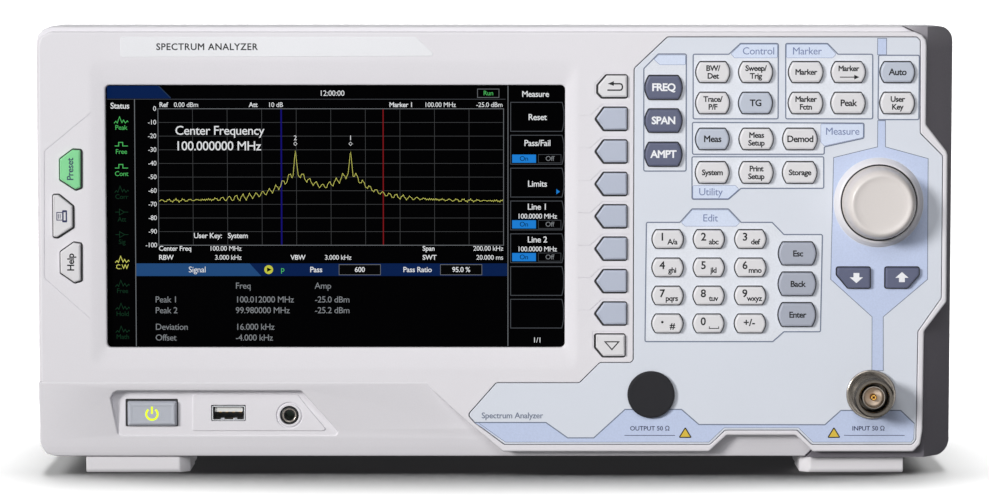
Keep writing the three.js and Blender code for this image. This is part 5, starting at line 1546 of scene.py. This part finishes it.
# ------------------------------------------------------------------ main board with the rear sockets
m_board = plastic("board_mask_main", (30, 88, 58), 0.34, 0.9, 0.08, 0.08, 0.5)
parts = [solid_plate("pcb", [[(rect(-168, 36, 24, 25.6), -38), (rect(-168, 36, 24, 25.6), 57)]], m_board, 0),
         slab_x("chip_shield", -60, -20, -20, 20, 25.6, 29.6, M["tin"], 0.5, 3)]
for k, (cx, cy, w, d, h) in enumerate(((-120, -20, 17, 17, 1.6), (-90, 5, 12, 12, 1.4), (-140, 10, 9, 14, 1.5), (0, -10, 14, 14, 1.6), (10, 25, 8, 8, 1.2), (-100, -25, 8, 5, 1.2))):
    parts.append(slab_x("chip", cx - w / 2, cx + w / 2, cy - d / 2, cy + d / 2, 25.6, 25.6 + h, M["black"], 0.2, 2))
for k in range(7):
    x0 = -158 + 26 * k
    parts.append(lathe("capacitor", [(0, 25.6), (2.4, 25.6), (2.5, 25.9), (2.5, 30.8), (2.2, 31.2), (0, 31.3)], x0, 34 - (k % 2) * 6, M["tin"], 24, axis="Z", smooth=40))
for x in BNC:
    parts.append(slab_x("bnc_block", x - 7, x + 7, 50, 60.6, 25.6, 42, M["black"], 0.5, 3))
    parts.append(lathe("bnc_barrel", [(4.1, 69.0), (4.1, 77.5), (4.25, 77.85), (4.45, 78.0), (4.68, 77.9), (4.8, 77.55), (4.8, 67.9), (4.95, 67.3), (5.3, 67.0), (5.75, 67.0), (5.95, 66.85), (6.0, 66.6), (6.0, 64.9), (5.6, 64.6), (5.6, 60.5), (0, 60.5), (0, 69.0)], x, 34, M["nickel_turned"], 64, smooth=35, closed=False))
    hexo = [(x + 6.4 * math.cos(math.radians(60 * k + 30)), 34 + 6.4 * math.sin(math.radians(60 * k + 30))) for k in range(6)]
    parts.append(solid_plate("bnc_nut", [rings_from(hexo, [(-0.25, 64.05), (0, 64.25), (0, 65.9), (-0.25, 66.15)]), rings_from(circle(x, 34, 5.55, 48), [(0, 64.05), (0, 64.25), (0, 65.9), (0, 66.15)])], M["nickel"], 30))
    parts.append(lathe("bnc_ptfe", [(1.05, 68.9), (1.05, 75.2), (1.3, 75.6), (2.5, 75.6), (2.75, 75.3), (2.75, 68.9)], x, 34, M["ptfe"], 40, smooth=40))
    parts.append(lathe("bnc_contact", [(0.55, 70), (0.55, 75.0), (0.7, 75.2), (0.95, 75.0), (1.0, 74.6), (1.0, 68.9), (0, 68.9), (0, 70)], x, 34, M["gold"], 24, smooth=40, closed=False))
    for s in (-1, 1):
        parts.append(lathe("bnc_stud", [(0, 34 + s * 4.5), (0.95, 34 + s * 4.5), (0.95, 34 + s * 5.35), (0.75, 34 + s * 5.55), (0, 34 + s * 5.6)], x, 73.4, M["nickel"], 20, axis="Z", smooth=40))


def socket(name, x0, x1, z0, z1, a, b, c, d, yb, ym, yf, mat, r=0.4):
    """metal shell round a rectangular socket that opens at the rear"""
    o, h = fillet(rect(x0, x1, z0, z1), r, 3), fillet(rect(a, b, c, d), r * 0.7, 3)
    front_part = solid_plate(name, [rings_from(o, [(0, ym), (0, yf - 0.25), (-0.07, yf - 0.07), (-0.25, yf)]), rings_from(h, [(0, ym), (0, yf - 0.25), (0.07, yf - 0.07), (0.25, yf)])], mat, 35)
    back_part = solid_plate(name, [rings_from(o, [(0, yb), (0, ym)])], mat, 35)
    return [front_part, back_part]


parts += socket("lan_shell", -72, -56, 25.6, 39.2, -69.9, -58.1, 28.2, 36.6, 44, 52, 64.6, M["tin"])
notch_o = [(-69.8, 28.3), (-58.2, 28.3), (-58.2, 36.5), (-69.8, 36.5)]
notch_i = [(-69.3, 30.6), (-67.2, 30.6), (-67.2, 29.4), (-65.6, 29.4), (-65.6, 28.7), (-62.4, 28.7), (-62.4, 29.4), (-60.8, 29.4), (-60.8, 30.6), (-58.7, 30.6), (-58.7, 36.0), (-69.3, 36.0)]
parts.append(solid_plate("lan_liner", [[(notch_o, 53.0), (notch_o, 64.2)], [(notch_i, 53.0), (notch_i, 64.2)]], M["black"], 0))
parts.append(slab_x("lan_back", -69.5, -58.5, 52.0, 53.2, 28.5, 36.3, M["black"], 0.1, 1))
for k in range(8):
    x = -67.9 + k * 1.12
    parts.append(slab_x("lan_contact", x - 0.2, x + 0.2, 54, 62.4, 34.9, 35.3, M["gold"], 0.08, 1))
for x, mt in ((-70.9, "amber"), (-58.0, "key_green")):
    parts.append(slab_x("lan_led", x, x + 1.9 if x < -60 else x + 1.6, 60, 64.75, 37.1, 38.5, M[mt], 0.1, 1))
parts += socket("usb_b_shell", -46, -34, 25.6, 36.6, -44.2, -35.8, 27.2, 35.0, 50, 55, 64.6, M["tin"])
parts.append(slab_x("usb_b_tongue", -42.6, -37.4, 54.9, 63.4, 29.6, 32.8, M["white_insulator"], 0.3, 3))
for s in (29.35, 32.75):
    for x in (-41.9, -39.2):
        parts.append(slab_x("usb_b_contact", x, x + 1.1, 56, 62.9, s, s + 0.3, M["gold"], 0.08, 1))
place(join("main_board_assembly", parts), BODY, "main_board", slot="circuit_board")

# ------------------------------------------------------------------ power supply with the appliance inlet
m_psu = plastic("board_mask_supply", (150, 112, 62), 0.42, 0.9, 0.08, 0.08, 0.4)
m_yellow = plastic("transformer_tape", (206, 176, 66), 0.4, 0.6, 0.1, 0.08, 0.4)
parts = [solid_plate("supply_board", [[(rect(74, 168, 14, 15.6), 20), (rect(74, 168, 14, 15.6), 56)]], m_psu, 0),
         slab_x("transformer", 82, 110, 25, 45, 15.6, 46, m_yellow, 1.2, 4), slab_x("transformer_core", 80, 112, 24, 46, 22, 40, M["black"], 0.4, 2),
         slab_x("heat_sink", 136, 164, 24, 26.5, 15.6, 40, M["steel"], 0.3, 2), slab_x("choke", 116, 132, 26, 44, 15.6, 34, M["black"], 2.0, 4)]
for k in range(5):
    parts.append(slab_x("sink_fin", 136 + k * 6.7, 137.4 + k * 6.7, 26.4, 46, 15.6, 40, M["steel"], 0.2, 2))
ox0, ox1, oz0, oz1 = 116.5, 145.5, 15.6, 44.6
outer = fillet(rect(ox0, ox1, oz0, oz1), 1.6, 5)
mouth = fillet([(119, 21), (143, 21), (143, 33.8), (139.4, 37.5), (122.6, 37.5), (119, 33.8)], 0.8, 4)
parts.append(solid_plate("inlet_body", [rings_from(outer, [(0, 50), (0, 64.1), (-0.18, 64.52), (-0.6, 64.7)]), rings_from(mouth, [(0, 50), (0, 64.0), (0.25, 64.45), (0.7, 64.7)])], M["black"], 35))
parts.append(solid_plate("inlet_back", [rings_from(outer, [(-0.4, 46), (0, 46.4), (0, 50)])], M["black"], 35))
for x, z in ((131, 31.6), (124, 27.0), (138, 27.0)):
    o = fillet(rect(x - 1.0, x + 1.0, z - 2.0, z + 2.0), 0.25, 2)
    parts.append(solid_plate("inlet_blade", [rings_from(o, [(0, 49.9), (0, 61.0), (-0.35, 61.9), (-0.6, 62.0)])], M["nickel"], 35))
parts.append(solid_plate("fuse_drawer", [rings_from(fillet(rect(121, 141, 39.2, 43.4), 0.5, 3), [(0, 64.0), (0, 64.75), (-0.1, 64.85), (-0.3, 64.9)])], M["grip"], 35))
place(join("power_supply_inlet", parts), BODY, "power_supply", slot="supply")

# ------------------------------------------------------------------ fan
fr = fillet(rect(FX - 30, FX + 30, FZ - 30, FZ + 30), 4.0, 6)
parts = [solid_plate("fan_frame", [rings_from(fr, [(-0.4, 41), (0, 41.4), (0, 60.4), (-0.4, 60.8)]), rings_from(circle(FX, FZ, 28.2, 96), [(0.6, 41), (0, 42.2), (0, 59.6), (0.6, 60.8)])] +
                      [rings_from(circle(FX + a * 25.0, FZ + b * 25.0, 1.9, 20), [(0, 41), (0, 60.8)]) for a, b in ((-1, -1), (1, -1), (1, 1), (-1, 1))], M["black"], 35)]
for k in range(4):
    a = math.radians(90 * k)
    c, s = math.cos(a), math.sin(a)
    o = [(FX + c * u - s * v, FZ + s * u + c * v) for u, v in ((11, -1.6), (28.6, -1.3), (28.6, 1.3), (11, 1.6))]
    parts.append(solid_plate("fan_strut", [[(ccw(o), 41.2), (ccw(o), 42.9)]], M["black"], 0))
parts.append(lathe("fan_hub", [(0, 41.05), (11.4, 41.05), (11.9, 41.3), (12, 41.6), (12, 42.7), (11.8, 43.0), (2.0, 43.0), (2.0, 51.8), (1.8, 52.0), (0, 52.0)], FX, FZ, M["black"], 64, smooth=40))
place(join("fan_frame_ring", parts), BODY, "fan", slot="fan_plastic")

parts = [lathe("rotor_hub", [(0, 59.0), (9.8, 59.0), (11.2, 58.7), (11.8, 58.1), (12.0, 57.2), (12.0, 44.2), (11.8, 44.0), (10.6, 44.0), (10.6, 53.4), (2.6, 53.4), (2.6, 53.0), (0, 53.0)], FX, FZ, M["black"], 64, smooth=40)]
for k in range(7):
    verts, faces = [], []
    nr, nc = 8, 6
    for i in range(nr + 1):
        r = 11.7 + (26.8 - 11.7) * i / nr
        base = 2 * math.pi * k / 7 + 0.16 * (i / nr) ** 1.5
        half = (4.1 + 1.5 * i / nr) / r
        tilt = 3.7 - 0.9 * i / nr
        for j in range(nc + 1):
            u = -1 + 2 * j / nc
            y = 51.0 - u * tilt + 0.5 * (1 - u * u)
            th = 0.28 + 0.42 * (1 - u * u)
            for s in (-1, 1):
                verts.append((FX + r * math.cos(base + u * half), y + s * th, FZ + r * math.sin(base + u * half)))
    w = 2 * (nc + 1)
    for i in range(nr):
        for j in range(nc):
            for s in (0, 1):
                a0 = i * w + j * 2 + s
                q = (a0, a0 + 2, a0 + w + 2, a0 + w)
                faces.append(q if s else q[::-1])
        for j in (0, nc):
            a0 = i * w + j * 2
            q = (a0, a0 + 1, a0 + w + 1, a0 + w)
            faces.append(q if j else q[::-1])
    for i in (0, nr):
        for j in range(nc):
            a0 = i * w + j * 2
            q = (a0, a0 + 1, a0 + 3, a0 + 2)
            faces.append(q if i == 0 else q[::-1])
    parts.append(make("rotor_blade", verts, faces, M["black"], 50))
place(join("fan_rotor_blades", parts), "fan_rotor", "fan_rotor", slot="fan_plastic")

# ------------------------------------------------------------------ carried-over CAD nodes inside the case
m_lcd = metal("lcd_pressed_sheet", (176, 178, 182), 0.36, None, 0.10, 0.06)
m_key_board = plastic("board_mask_keypad", (26, 84, 52), 0.36, 0.9, 0.08, 0.08, 0.45)
for node, mat in (("lcd_module", m_lcd), ("keypad_board", m_key_board), ("rf_module", M["tin"]), ("chassis", M["zinc"])):
    ob = NODES[node]
    if not ob.material_slots:
        ob.data.materials.append(mat)
    for sl_ in ob.material_slots:
        sl_.material = mat
